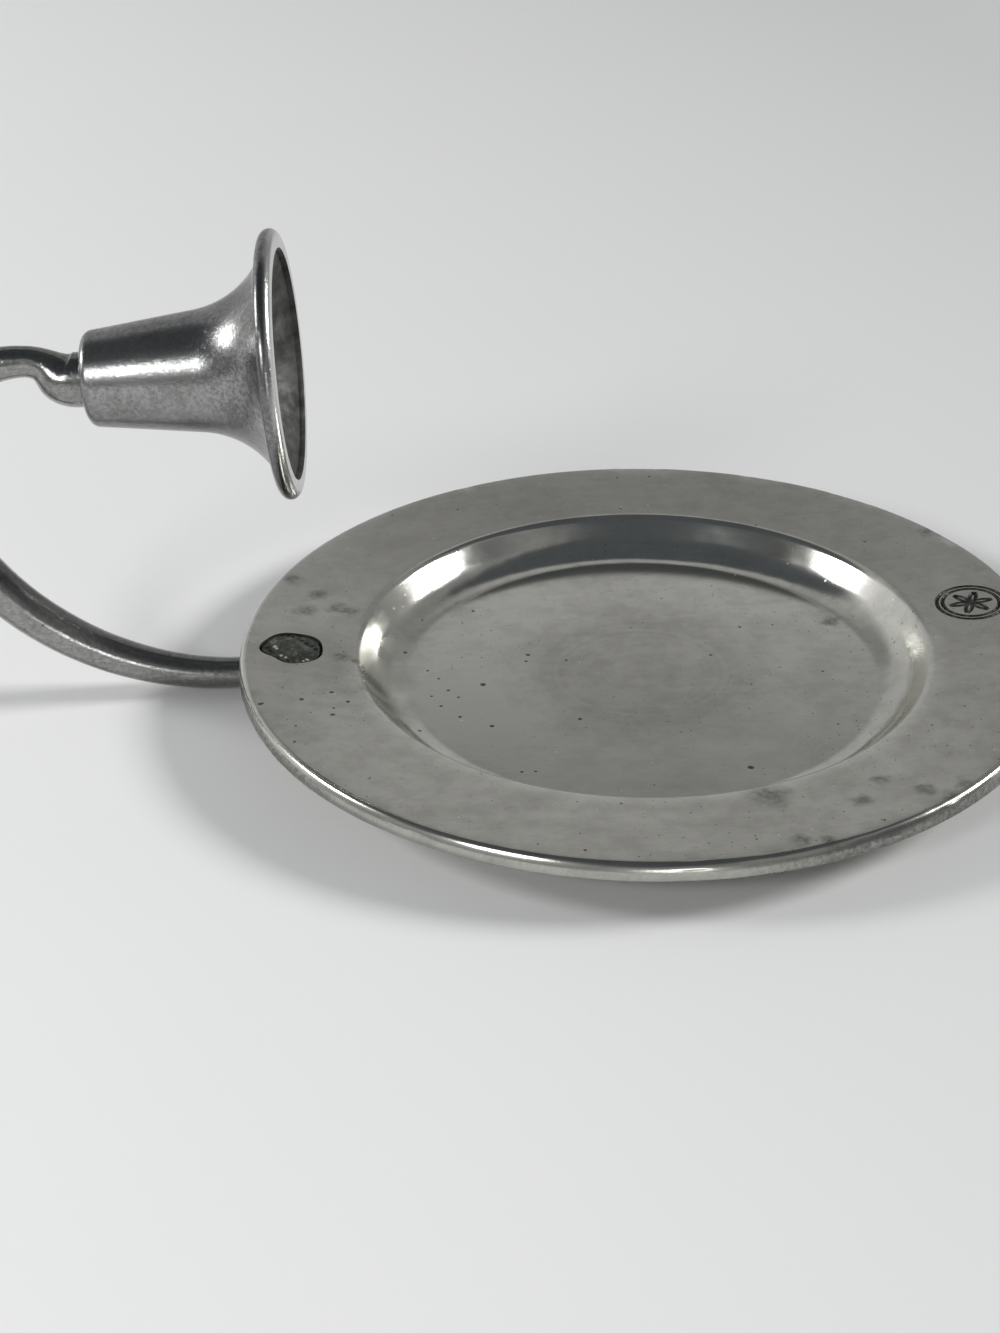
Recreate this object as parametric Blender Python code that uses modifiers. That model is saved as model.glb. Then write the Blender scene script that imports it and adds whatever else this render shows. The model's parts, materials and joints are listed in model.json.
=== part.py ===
"""Wall candle sconce of cast pewter: a dished plate, a C-shaped arm and a flared candle cup.

Metres. The sconce lies on its back, as it would on a table. The origin is the centre of the
plate's flat back face, +Z points out of the plate's face, and -X runs toward the arm, which is
the lower end when the sconce hangs on a wall.
"""
from math import asin, atan2, cos, hypot, pi, radians, sin

import bmesh
import bpy
from mathutils import Matrix, Vector

MM = 0.001

# Gap between neighbouring pieces, and between a fastener and its bore
CLEARANCE = 0.3 * MM

# Plate: a flat floor, an ogee wall and a rim that rises a little toward its thick edge
PLATE_RADIUS = 120.0 * MM
WELL_RADIUS = 86.5 * MM
WELL_WALL_RUN = 11.5 * MM
WELL_DEPTH = 10.5 * MM
RIM_RISE = 2.5 * MM
SHEET = 3.0 * MM
WELL_LIP_UNDER_RADIUS = 1.0 * MM
WELL_COVE_RADIUS = 5.2 * MM
EDGE_HEIGHT = 5.4 * MM
EDGE_WIDTH = 5.0 * MM
EDGE_TOP_ROUND = 1.6 * MM
EDGE_LOW_ROUND = 0.9 * MM

# Rivet that holds the arm: a wide flat head let into the rim's face, a little outside its middle
RIVET_OFFSET = 1.15 * MM
RIVET_HEAD_RADIUS = 8.3 * MM
RIVET_HEAD_HEIGHT = 0.9 * MM
RIVET_DOME = 0.5 * MM
RIVET_SHANK_RADIUS = 2.5 * MM
RIVET_RECESS = 1.4 * MM

# Arm: a straight end under the rim, a wide sweep, a tight curl and a drop to the cup
ARM_EDGE_GAP = 0.75 * MM
ARM_END_RADIUS = 4.65 * MM
ARM_BELLY_RADIUS = 6.9 * MM
ARM_NECK_RADIUS = 4.4 * MM
ARM_PAD_RADIUS = 7.7 * MM
ARM_PAD_THICKNESS = 1.5 * MM
ARM_TAIL = 9.0 * MM
ARM_NOSE_RADIUS = 2.8 * MM
ARM_NOSE_LENGTH = 2.3 * MM
ARM_STRAIGHT = 4.0 * MM
ARM_SWEEP_RADIUS = 85.0 * MM
ARM_SWEEP_ANGLE = radians(69.8)
ARM_CURL_RADIUS = 33.3 * MM
ARM_DROP = 5.6 * MM
ARM_DROP_RUN = 17.1 * MM
BOSS_RADIUS = 4.2 * MM
RIVET_BORE_FLOOR = 1.8 * MM

# Candle cup: a tapered socket that flares to a wide lip
CUP_TILT = radians(2.9)
CUP_BASE_RADIUS = 13.4 * MM
CUP_BASE_ROUND = 2.8 * MM
CUP_BARREL_RADIUS = 16.9 * MM
CUP_BARREL_LENGTH = 31.1 * MM
CUP_FLARE_RADIUS = 27.0 * MM
CUP_FLARE_END = radians(72.0)
CUP_LIP_REACH = 1.0 * MM
CUP_WALL = 2.7 * MM
CUP_FLOOR = 4.0 * MM

# Screw through the cup's floor into the arm
SCREW_RADIUS = 2.2 * MM
SCREW_DEPTH = 6.0 * MM
SCREW_HEAD_RADIUS = 4.5 * MM
SCREW_HEAD_HEIGHT = 2.6 * MM
SCREW_SLOT_WIDTH = 1.2 * MM
SCREW_SLOT_DEPTH = 1.1 * MM

# Hanger in the middle of the rim's back, opposite the arm
LUG_THICKNESS = 3.0 * MM
LUG_FOOT_WIDTH = 13.0 * MM
LUG_FOOT_HEIGHT = 1.6 * MM
LUG_EYE_RADIUS = 3.4 * MM
LUG_EYE_DROP = 4.6 * MM
RING_RADIUS = 8.5 * MM
RING_WIRE_RADIUS = 1.0 * MM
RING_PLAY = 0.6 * MM

# How far a cutter runs on past what it cuts, and how near points are to be one
CUT_PAST = 6.0 * MM
MERGE_DISTANCE = 0.01 * MM

# Fineness of the turned and curved shapes
PLATE_STEPS = 72
CUP_STEPS = 48
PIN_STEPS = 24
ARC_STEPS = 6
CORNER_STEPS = 4
ARM_STEPS = 14
ARM_BEVEL_RESOLUTION = 6
RING_STEPS = 36
RING_SIDES = 12
SHARP_ANGLE = radians(40)

# Places that follow from the sizes above
FLOOR_RADIUS = WELL_RADIUS - WELL_WALL_RUN
EDGE_INNER = PLATE_RADIUS - EDGE_WIDTH
RIVET_FROM_CENTRE = (WELL_RADIUS + PLATE_RADIUS) / 2 + RIVET_OFFSET
HANGER_FROM_CENTRE = (WELL_RADIUS + EDGE_INNER) / 2
RIM_SLOPE = atan2(RIM_RISE, PLATE_RADIUS - WELL_RADIUS)
RIM_TOP = SHEET + WELL_DEPTH + RIM_RISE
EDGE_LOW = RIM_TOP - EDGE_HEIGHT
ARM_HEIGHT = EDGE_LOW - ARM_EDGE_GAP - ARM_END_RADIUS
ARM_START = -(PLATE_RADIUS + ARM_STRAIGHT)
CURL_OFFSET = ARM_SWEEP_RADIUS - ARM_CURL_RADIUS
NECK = Vector((
    ARM_START - CURL_OFFSET * sin(ARM_SWEEP_ANGLE),
    0.0,
    ARM_HEIGHT + ARM_SWEEP_RADIUS + ARM_CURL_RADIUS - CURL_OFFSET * cos(ARM_SWEEP_ANGLE),
))
CUP_AXIS = Vector((cos(CUP_TILT), 0.0, sin(CUP_TILT)))
ARM_TIP = NECK + Vector((ARM_DROP_RUN, 0.0, -ARM_DROP))
CUP_BASE = ARM_TIP + CUP_AXIS * CLEARANCE
CUP_FRAME = Matrix.Translation(CUP_BASE) @ Matrix.Rotation(pi / 2 - CUP_TILT, 4, "Y")


def rim_height(radius):
    """Height of the rim's face at a distance from the plate's centre."""
    return RIM_TOP - (PLATE_RADIUS - radius) * RIM_RISE / (PLATE_RADIUS - WELL_RADIUS)


def rim_frame(radius, side):
    """Frame on the rim's face, Z square to the face: side -1 is the arm's, +1 the hanger's."""
    place = Matrix.Translation((side * radius, 0.0, rim_height(radius)))
    return place @ Matrix.Rotation(-side * RIM_SLOPE, 4, "Y")


RIVET_FRAME = rim_frame(RIVET_FROM_CENTRE, -1)
LUG_FRAME = rim_frame(HANGER_FROM_CENTRE, 1) @ Matrix.Translation((0.0, 0.0, -SHEET - CLEARANCE))
HANGER_PIVOT = LUG_FRAME @ Vector((0.0, 0.0, -LUG_EYE_DROP))


def new_collection(name):
    collection = bpy.data.collections.new(name)
    bpy.context.scene.collection.children.link(collection)
    return collection


def metal(name, colour, roughness):
    """A Principled material of one metal finish."""
    material = bpy.data.materials.new(name)
    material.use_nodes = True
    shader = material.node_tree.nodes["Principled BSDF"]
    shader.inputs["Base Color"].default_value = (*colour, 1.0)
    shader.inputs["Metallic"].default_value = 1.0
    shader.inputs["Roughness"].default_value = roughness
    return material


def add_object(name, data, frame, collection, material=None):
    piece = bpy.data.objects.new(name, data)
    piece.matrix_world = frame
    collection.objects.link(piece)
    if material:
        data.materials.append(material)
    return piece


def hide_cutter(piece):
    piece.hide_render = True
    piece.display_type = "WIRE"


def cut(piece, tool, operation="DIFFERENCE"):
    modifier = piece.modifiers.new(tool.name, "BOOLEAN")
    modifier.operation = operation
    modifier.solver = "EXACT"
    modifier.object = tool


def arc(centre, radius, start, end, steps):
    """Points (radius, height) on an arc; angles in radians from the outward direction."""
    return [
        (centre[0] + radius * cos(start + (end - start) * i / steps),
         centre[1] + radius * sin(start + (end - start) * i / steps))
        for i in range(steps + 1)
    ]


def turned(name, profile, steps, frame, collection, material=None, closed=False):
    """A profile of (radius, height) points turned about the frame's Z axis."""
    mesh = bpy.data.meshes.new(name)
    count = len(profile)
    edges = [(i, i + 1) for i in range(count - 1)]
    if closed:
        edges.append((count - 1, 0))
    mesh.from_pydata([(r, 0.0, z) for r, z in profile], edges, [])
    piece = add_object(name, mesh, frame, collection, material)
    screw = piece.modifiers.new("Turn", "SCREW")
    screw.axis = "Z"
    screw.angle = 2 * pi
    screw.steps = steps
    screw.render_steps = steps
    screw.use_merge_vertices = True
    screw.merge_threshold = MERGE_DISTANCE
    screw.use_smooth_shade = True
    return piece


def cylinder(name, radius, low, high, frame, collection, steps=PIN_STEPS):
    """A plain cylinder about the frame's Z axis, between two heights."""
    mesh = bpy.data.meshes.new(name)
    shape = bmesh.new()
    bmesh.ops.create_cone(
        shape, cap_ends=True, segments=steps, radius1=radius, radius2=radius, depth=high - low,
        matrix=Matrix.Translation((0.0, 0.0, (low + high) / 2)),
    )
    shape.to_mesh(mesh)
    shape.free()
    return add_object(name, mesh, frame, collection)


def well_side(lip, cove, lip_centre, cove_centre):
    """Ogee from the rim down to the floor: a round lip, a straight wall and a cove."""
    run = lip_centre[0] - cove_centre[0]
    fall = lip_centre[1] - cove_centre[1]
    slope = atan2(fall, run) + asin((lip + cove) / hypot(run, fall))
    turn = slope + pi / 2
    points = arc(lip_centre, lip, pi / 2 + RIM_SLOPE, turn, ARC_STEPS)
    points += arc(cove_centre, cove, turn - pi, -pi / 2, ARC_STEPS)
    return points


def make_plate(collection, cutters, material):
    """The dished wall plate, with a recess and a bore for the arm's rivet."""
    floor = SHEET
    lip = WELL_LIP_UNDER_RADIUS + SHEET
    under = SHEET / cos(RIM_SLOPE)
    lip_centre = (
        WELL_RADIUS + lip * sin(RIM_SLOPE),
        rim_height(WELL_RADIUS) - lip * cos(RIM_SLOPE),
    )
    cove_centre = (FLOOR_RADIUS, floor + WELL_COVE_RADIUS)
    face = well_side(lip, WELL_COVE_RADIUS, lip_centre, cove_centre)
    back = well_side(
        WELL_LIP_UNDER_RADIUS, WELL_COVE_RADIUS + SHEET, lip_centre, cove_centre,
    )
    shoulder = PLATE_RADIUS - EDGE_TOP_ROUND
    top_corner = (shoulder, rim_height(shoulder) - EDGE_TOP_ROUND / cos(RIM_SLOPE))
    low_corner = (PLATE_RADIUS - EDGE_LOW_ROUND, EDGE_LOW + EDGE_LOW_ROUND)
    profile = [(0.0, floor)]
    profile += reversed(face)
    profile += arc(top_corner, EDGE_TOP_ROUND, pi / 2 + RIM_SLOPE, 0.0, CORNER_STEPS)
    profile += arc(low_corner, EDGE_LOW_ROUND, 0.0, -pi / 2, CORNER_STEPS)
    profile += [(EDGE_INNER, EDGE_LOW), (EDGE_INNER, rim_height(EDGE_INNER) - under)]
    profile += back
    profile += [(0.0, 0.0)]
    plate = turned("wall_plate", profile, PLATE_STEPS, Matrix(), collection, material)

    recess = cylinder(
        "rivet_recess_cutter", RIVET_HEAD_RADIUS + CLEARANCE, -RIVET_RECESS, CUT_PAST,
        RIVET_FRAME, cutters, CUP_STEPS,
    )
    bore = cylinder(
        "rivet_bore_cutter", RIVET_SHANK_RADIUS + CLEARANCE, -SHEET - CUT_PAST, CUT_PAST,
        RIVET_FRAME, cutters,
    )
    for tool in (recess, bore):
        hide_cutter(tool)
        cut(plate, tool)
    return plate


def rivet_depth():
    """Distance along the rivet from the rim's face to the floor of its bore in the arm."""
    bore_floor = ARM_HEIGHT - ARM_END_RADIUS + RIVET_BORE_FLOOR
    return (RIVET_FRAME.translation.z - bore_floor) / cos(RIM_SLOPE)


def make_rivet(collection, material):
    """The rivet: a slightly domed head seated in the rim's recess, and its shank."""
    seat = -RIVET_RECESS + CLEARANCE
    brim = seat + RIVET_HEAD_HEIGHT
    dome = (RIVET_HEAD_RADIUS ** 2 + RIVET_DOME ** 2) / (2 * RIVET_DOME)
    spread = asin(RIVET_HEAD_RADIUS / dome)
    crown = arc((0.0, brim + RIVET_DOME - dome), dome, pi / 2, pi / 2 - spread, CORNER_STEPS)
    crown[0] = (0.0, brim + RIVET_DOME)
    tip = CLEARANCE - rivet_depth()
    profile = crown + [
        (RIVET_HEAD_RADIUS, seat),
        (RIVET_SHANK_RADIUS, seat),
        (RIVET_SHANK_RADIUS, tip),
        (0.0, tip),
    ]
    return turned("arm_rivet", profile, CUP_STEPS, RIVET_FRAME, collection, material)


def arm_path():
    """Centre line of the arm as (point, radius) pairs, from under the rim to the cup."""
    path = []
    tail_end = -(RIVET_FROM_CENTRE - ARM_TAIL)
    for share in (0.0, 0.5, 1.0):
        x = tail_end - ARM_NOSE_LENGTH * share
        swell = sin(share * pi / 2)
        radius = ARM_NOSE_RADIUS + (ARM_END_RADIUS - ARM_NOSE_RADIUS) * swell
        path.append((Vector((x, 0.0, ARM_HEIGHT)), radius))
    path.append((Vector((-PLATE_RADIUS, 0.0, ARM_HEIGHT)), ARM_END_RADIUS))

    sweep_centre = Vector((ARM_START, 0.0, ARM_HEIGHT + ARM_SWEEP_RADIUS))
    for i in range(ARM_STEPS + 1):
        share = i / ARM_STEPS
        turn = ARM_SWEEP_ANGLE * share
        point = sweep_centre - ARM_SWEEP_RADIUS * Vector((sin(turn), 0.0, cos(turn)))
        swell = sin(share * pi / 2)
        path.append((point, ARM_END_RADIUS + (ARM_BELLY_RADIUS - ARM_END_RADIUS) * swell))

    curl_centre = NECK - Vector((0.0, 0.0, ARM_CURL_RADIUS))
    for i in range(1, ARM_STEPS + 1):
        share = i / ARM_STEPS
        turn = ARM_SWEEP_ANGLE + (pi - ARM_SWEEP_ANGLE) * share
        point = curl_centre - ARM_CURL_RADIUS * Vector((sin(turn), 0.0, cos(turn)))
        swell = cos(share * pi / 2)
        path.append((point, ARM_NECK_RADIUS + (ARM_BELLY_RADIUS - ARM_NECK_RADIUS) * swell))

    pull = ARM_DROP_RUN / 2
    pad = ARM_TIP - CUP_AXIS * ARM_PAD_THICKNESS
    handles = (NECK, NECK + Vector((pull, 0.0, 0.0)), pad - CUP_AXIS * pull, pad)
    for i in range(1, ARC_STEPS + 1):
        t = i / ARC_STEPS
        weights = ((1 - t) ** 3, 3 * t * (1 - t) ** 2, 3 * t * t * (1 - t), t ** 3)
        point = sum((h * w for h, w in zip(handles, weights)), Vector())
        swell = t * t * (3 - 2 * t)
        path.append((point, ARM_NECK_RADIUS + (ARM_PAD_RADIUS - ARM_NECK_RADIUS) * swell))
    path.append((ARM_TIP, ARM_PAD_RADIUS))
    return path


def make_arm(collection, cutters, material):
    """The C-shaped arm: a tapered rod with a boss under the rim and a bore at each end."""
    path = arm_path()
    curve = bpy.data.curves.new("arm_rod", "CURVE")
    curve.dimensions = "3D"
    curve.bevel_depth = ARM_END_RADIUS
    curve.bevel_resolution = ARM_BEVEL_RESOLUTION
    curve.use_fill_caps = True
    spline = curve.splines.new("POLY")
    spline.points.add(len(path) - 1)
    for point, (place, radius) in zip(spline.points, path):
        point.co = (*place, 1.0)
        point.radius = radius / ARM_END_RADIUS
    rod = add_object("arm_rod", curve, Matrix(), collection)

    bpy.context.view_layer.update()
    mesh = bpy.data.meshes.new_from_object(
        rod.evaluated_get(bpy.context.evaluated_depsgraph_get())
    )
    shape = bmesh.new()
    shape.from_mesh(mesh)
    bmesh.ops.remove_doubles(shape, verts=shape.verts, dist=MERGE_DISTANCE)
    bmesh.ops.recalc_face_normals(shape, faces=shape.faces)
    shape.to_mesh(mesh)
    shape.free()
    mesh.name = "arm"
    mesh.shade_smooth()
    mesh.set_sharp_from_angle(angle=SHARP_ANGLE)
    arm = add_object("arm", mesh, rod.matrix_world, collection, material)
    bpy.data.objects.remove(rod)

    boss_low = (ARM_HEIGHT - RIVET_FRAME.translation.z) / cos(RIM_SLOPE)
    boss = cylinder(
        "arm_boss_shape", BOSS_RADIUS, boss_low, -SHEET - CLEARANCE, RIVET_FRAME, cutters,
    )
    rivet_bore = cylinder(
        "arm_rivet_bore_cutter", RIVET_SHANK_RADIUS + CLEARANCE, -rivet_depth(), CUT_PAST,
        RIVET_FRAME, cutters,
    )
    screw_bore = cylinder(
        "arm_screw_bore_cutter", SCREW_RADIUS + CLEARANCE, -SCREW_DEPTH - 2 * CLEARANCE,
        CUT_PAST, CUP_FRAME, cutters,
    )
    for tool in (boss, rivet_bore, screw_bore):
        hide_cutter(tool)
    cut(arm, boss, "UNION")
    cut(arm, rivet_bore)
    cut(arm, screw_bore)
    return arm


def make_cup(collection, material):
    """The candle cup: a tapered barrel with a bored floor that flares to a rounded lip."""
    taper = atan2(
        CUP_BARREL_RADIUS - CUP_BASE_RADIUS, CUP_BARREL_LENGTH - CUP_BASE_ROUND,
    )
    flare_centre = (
        CUP_BARREL_RADIUS + CUP_FLARE_RADIUS * cos(taper),
        CUP_BARREL_LENGTH - CUP_FLARE_RADIUS * sin(taper),
    )
    base_centre = (
        CUP_BASE_RADIUS - CUP_BASE_ROUND * cos(taper),
        CUP_BASE_ROUND,
    )
    inner_flare = CUP_FLARE_RADIUS + CUP_WALL
    start = pi - taper
    end = pi - CUP_FLARE_END
    outer = arc(flare_centre, CUP_FLARE_RADIUS, end, start, ARC_STEPS)
    inner = arc(flare_centre, inner_flare, start, end, ARC_STEPS)

    # The wall runs on straight past the flare, and its edge is rounded
    along = (sin(CUP_FLARE_END), cos(CUP_FLARE_END))
    middle = arc(flare_centre, CUP_FLARE_RADIUS + CUP_WALL / 2, end, end, 1)[0]
    lip_centre = (
        middle[0] + CUP_LIP_REACH * along[0],
        middle[1] + CUP_LIP_REACH * along[1],
    )
    lip = arc(lip_centre, CUP_WALL / 2, pi - CUP_FLARE_END, -CUP_FLARE_END, 2 * CORNER_STEPS)

    floor_radius = inner[0][0] - (inner[0][1] - CUP_FLOOR) * sin(taper) / cos(taper)
    bore = SCREW_RADIUS + CLEARANCE
    profile = [(bore, CUP_FLOOR), (floor_radius, CUP_FLOOR)]
    profile += inner
    profile += lip
    profile += outer
    profile += arc(base_centre, CUP_BASE_ROUND, -taper, -pi / 2, CORNER_STEPS)
    profile += [(bore, 0.0)]
    return turned(
        "candle_cup", profile, CUP_STEPS, CUP_FRAME, collection, material, closed=True,
    )


def make_screw(collection, cutters, material):
    """The slotted screw that holds the cup on the arm."""
    seat = CUP_FLOOR + CLEARANCE
    top = seat + SCREW_HEAD_HEIGHT
    edge = (SCREW_HEAD_RADIUS - SCREW_HEAD_HEIGHT / 2, top - SCREW_HEAD_HEIGHT / 2)
    profile = [(0.0, top)]
    profile += arc(edge, SCREW_HEAD_HEIGHT / 2, pi / 2, 0.0, CORNER_STEPS)
    profile += [
        (SCREW_HEAD_RADIUS, seat),
        (SCREW_RADIUS, seat),
        (SCREW_RADIUS, -SCREW_DEPTH),
        (0.0, -SCREW_DEPTH),
    ]
    screw = turned("cup_screw", profile, PIN_STEPS, CUP_FRAME, collection, material)

    mesh = bpy.data.meshes.new("screw_slot_cutter")
    shape = bmesh.new()
    length = 2 * (SCREW_HEAD_RADIUS + CUT_PAST)
    size = (length, SCREW_SLOT_WIDTH, 2 * SCREW_SLOT_DEPTH)
    bmesh.ops.create_cube(
        shape, size=1.0,
        matrix=Matrix.Translation((0.0, 0.0, top)) @ Matrix.Diagonal((*size, 1.0)),
    )
    shape.to_mesh(mesh)
    shape.free()
    slot = add_object("screw_slot_cutter", mesh, CUP_FRAME, cutters)
    hide_cutter(slot)
    cut(screw, slot)
    return screw


def make_lug(collection, material):
    """The hanger's lug: a foot soldered under the rim and a round eye for the ring."""
    hole_radius = RING_WIRE_RADIUS + RING_PLAY
    eye = (0.0, -LUG_EYE_DROP)
    half = LUG_FOOT_WIDTH / 2
    outline = [(-half, 0.0), (-half, -LUG_FOOT_HEIGHT), (-LUG_EYE_RADIUS, -LUG_FOOT_HEIGHT)]
    outline += arc(eye, LUG_EYE_RADIUS, pi, 2 * pi, 2 * ARC_STEPS)
    outline += [(LUG_EYE_RADIUS, -LUG_FOOT_HEIGHT), (half, -LUG_FOOT_HEIGHT), (half, 0.0)]
    hole = arc(eye, hole_radius, 0.0, 2 * pi, 2 * ARC_STEPS)[:-1]

    curve = bpy.data.curves.new("hanger_lug", "CURVE")
    curve.dimensions = "2D"
    curve.fill_mode = "BOTH"
    curve.extrude = LUG_THICKNESS / 2
    for points in (outline, hole):
        spline = curve.splines.new("POLY")
        spline.points.add(len(points) - 1)
        spline.use_cyclic_u = True
        for point, (x, y) in zip(spline.points, points):
            point.co = (x, y, 0.0, 1.0)
    upright = Matrix.Rotation(pi / 2, 4, "X")
    lug = add_object("hanger_lug", curve, LUG_FRAME @ upright, collection, material)
    weld = lug.modifiers.new("Close", "WELD")
    weld.merge_threshold = MERGE_DISTANCE
    return lug


def make_ring(collection, material):
    """The hanging ring, drooping from its eye until its far side is just off the table."""
    bpy.ops.mesh.primitive_torus_add(
        major_radius=RING_RADIUS, minor_radius=RING_WIRE_RADIUS,
        major_segments=RING_STEPS, minor_segments=RING_SIDES,
    )
    ring = bpy.context.object
    ring.name = "hanger_ring"
    for owner in list(ring.users_collection):
        owner.objects.unlink(ring)
    collection.objects.link(ring)
    ring.data.transform(Matrix.Translation((RING_RADIUS, 0.0, 0.0)))
    ring.data.materials.append(material)
    ring.data.shade_smooth()
    fall = HANGER_PIVOT.z - RING_WIRE_RADIUS - CLEARANCE
    droop = asin(min(1.0, fall / (2 * RING_RADIUS)))
    ring.matrix_world = Matrix.Translation(HANGER_PIVOT) @ Matrix.Rotation(droop, 4, "Y")
    return ring


def main():
    for piece in list(bpy.data.objects):
        bpy.data.objects.remove(piece)
    parts = new_collection("wall_candle_sconce")
    cutters = new_collection("cutters")

    make_plate(parts, cutters, metal("plate_pewter", (0.43, 0.43, 0.42), 0.32))
    make_arm(parts, cutters, metal("arm_pewter", (0.40, 0.40, 0.39), 0.30))
    make_rivet(parts, metal("rivet_dark_metal", (0.10, 0.095, 0.09), 0.55))
    make_cup(parts, metal("cup_pewter", (0.44, 0.44, 0.43), 0.28))
    make_screw(parts, cutters, metal("screw_steel", (0.35, 0.34, 0.33), 0.40))
    make_lug(parts, metal("lug_pewter", (0.36, 0.36, 0.35), 0.45))
    make_ring(parts, metal("ring_brass_wire", (0.45, 0.34, 0.17), 0.40))


main()
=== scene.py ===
"""Looks of a pewter wall candle sconce that lies on its back on a pale table.

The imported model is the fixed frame. Each piece is modelled again at its own place with a fine
surface and a worn finish, and stands for its node of the frame. Metres, +Z out of the plate's face.
"""
import json
from math import acos, asin, atan2, cos, exp, hypot, pi, radians, sin

import bmesh
import bpy
from bpy.props import FloatProperty, FloatVectorProperty, PointerProperty
from bpy.types import Operator, Panel, PropertyGroup
from mathutils import Matrix, Vector, noise


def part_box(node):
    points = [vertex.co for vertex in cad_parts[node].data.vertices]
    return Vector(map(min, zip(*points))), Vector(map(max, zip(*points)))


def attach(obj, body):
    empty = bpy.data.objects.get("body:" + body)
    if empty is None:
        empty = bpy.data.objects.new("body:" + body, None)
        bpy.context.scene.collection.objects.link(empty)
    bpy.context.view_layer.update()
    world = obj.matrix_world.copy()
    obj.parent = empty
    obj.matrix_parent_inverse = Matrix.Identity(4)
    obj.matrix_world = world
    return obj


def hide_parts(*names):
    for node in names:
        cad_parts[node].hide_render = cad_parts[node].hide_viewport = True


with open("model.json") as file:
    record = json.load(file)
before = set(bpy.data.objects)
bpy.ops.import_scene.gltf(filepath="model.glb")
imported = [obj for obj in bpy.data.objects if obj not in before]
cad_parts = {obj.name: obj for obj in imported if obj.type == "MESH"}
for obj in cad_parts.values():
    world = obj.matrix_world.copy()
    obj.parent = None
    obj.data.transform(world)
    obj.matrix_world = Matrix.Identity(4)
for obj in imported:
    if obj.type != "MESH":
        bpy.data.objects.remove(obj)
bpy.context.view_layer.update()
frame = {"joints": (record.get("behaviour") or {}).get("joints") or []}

bl_info = {
    "name": "Wall Candle Sconce",
    "version": (1, 0, 0),
    "blender": (4, 5, 0),
    "location": "View3D > Sidebar > Sconce",
    "description": "Models and finishes a pewter wall candle sconce around its packed frame",
    "category": "Object",
}

MM = 0.001

# Places that the frame gives
PLATE_LOW, PLATE_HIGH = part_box("wall_plate")
RING_PIVOT = Vector(frame["joints"][0]["pos_m"])

# Fineness of the turned and swept shapes
PLATE_STEPS = 384
CUP_STEPS = 192
HEAD_STEPS = 96
PIN_STEPS = 48
ARC_STEPS = 14
ARM_SIDES = 48
ARM_ARC_STEPS = 72
NOSE_STEPS = 8
TAIL_STEPS = 10
DROP_STEPS = 24
RING_STEPS = 120
RING_SIDES = 24
STRUCK_RING_STEPS = 72
PETAL_STEPS = 24
STRUCK_SIDES = 10
FLOOR_STEPS = 16
RIM_STEPS = 12
BACK_STEPS = 10
SIDE_STEPS = 4
SOCKET_STEPS = 10
BARREL_STEPS = 16
LIP_STEPS = 3
MERGE_DISTANCE = 0.002 * MM
SHARP_ANGLE = radians(38)
GAP = 0.3 * MM

# Sizes of the waves, nicks and dents that hand work and use leave
PLATE_WAVE = 24 * MM
WALL_WAVE = 6 * MM
NICK = 2.2 * MM
NICK_PATCH = 17 * MM
NICK_FROM = 0.12
ARM_WAVE = 9 * MM
CUP_WAVE = 11 * MM
HAMMER_DENT = 3.4 * MM

# How the hammer spread the rivet's head, in shares of its radius, and the ripple of its outline
HEAD_SPREAD = 1.06
FLANK_LOSS = 0.24
FLANK_HALF_TURN = 0.65
RIPPLE = 0.03
RIPPLES = 5
RIPPLE_START = 1.0

# The cup's inner lip corner, the gap between the ring's butted ends and the rosette's petals
LIP_CORNER = 0.4 * MM
RING_BUTT = radians(4)
PETALS = 6

# The image that the camera was fitted to
IMAGE_WIDTH = 1000
IMAGE_HEIGHT = 1333
SENSOR = 36.0

# Rise of the backdrop's upper edge over its distance, seen from the table
SHEET_TOP_SLOPE = 1.54

# Half the table's side, in metres
TABLE_HALF = 6.0

# The lamps as (name, place, width, height, level), in metres; each faces the plate's middle
LAMPS = (
    ("right_lamp", (4.727, 0.660, 2.426), 1.84, 1.22, 6.7),
    ("left_lamp", (-3.828, 0.538, 1.970), 1.36, 0.91, 4.2),
    ("front_lamp", (-0.851, -1.031, 0.758), 0.46, 0.27, 2.7),
    ("low_lamp", (0.120, -1.450, 0.300), 0.37, 0.28, 0.86),
)


def length(name, value, description):
    """A size in metres that a user may change."""
    return FloatProperty(name=name, description=description, default=value, unit="LENGTH", precision=5)


def angle(name, value, description):
    """An angle that a user may change, given in degrees."""
    return FloatProperty(name=name, description=description, default=radians(value), unit="ROTATION")


def share(name, value, description):
    """A number from 0 to 1."""
    return FloatProperty(
        name=name, description=description, default=value, min=0.0, max=1.0, subtype="FACTOR",
    )


def colour(name, value, description):
    """A linear colour."""
    return FloatVectorProperty(
        name=name, description=description, default=value, size=3, min=0.0, max=1.0, subtype="COLOR",
    )


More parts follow.
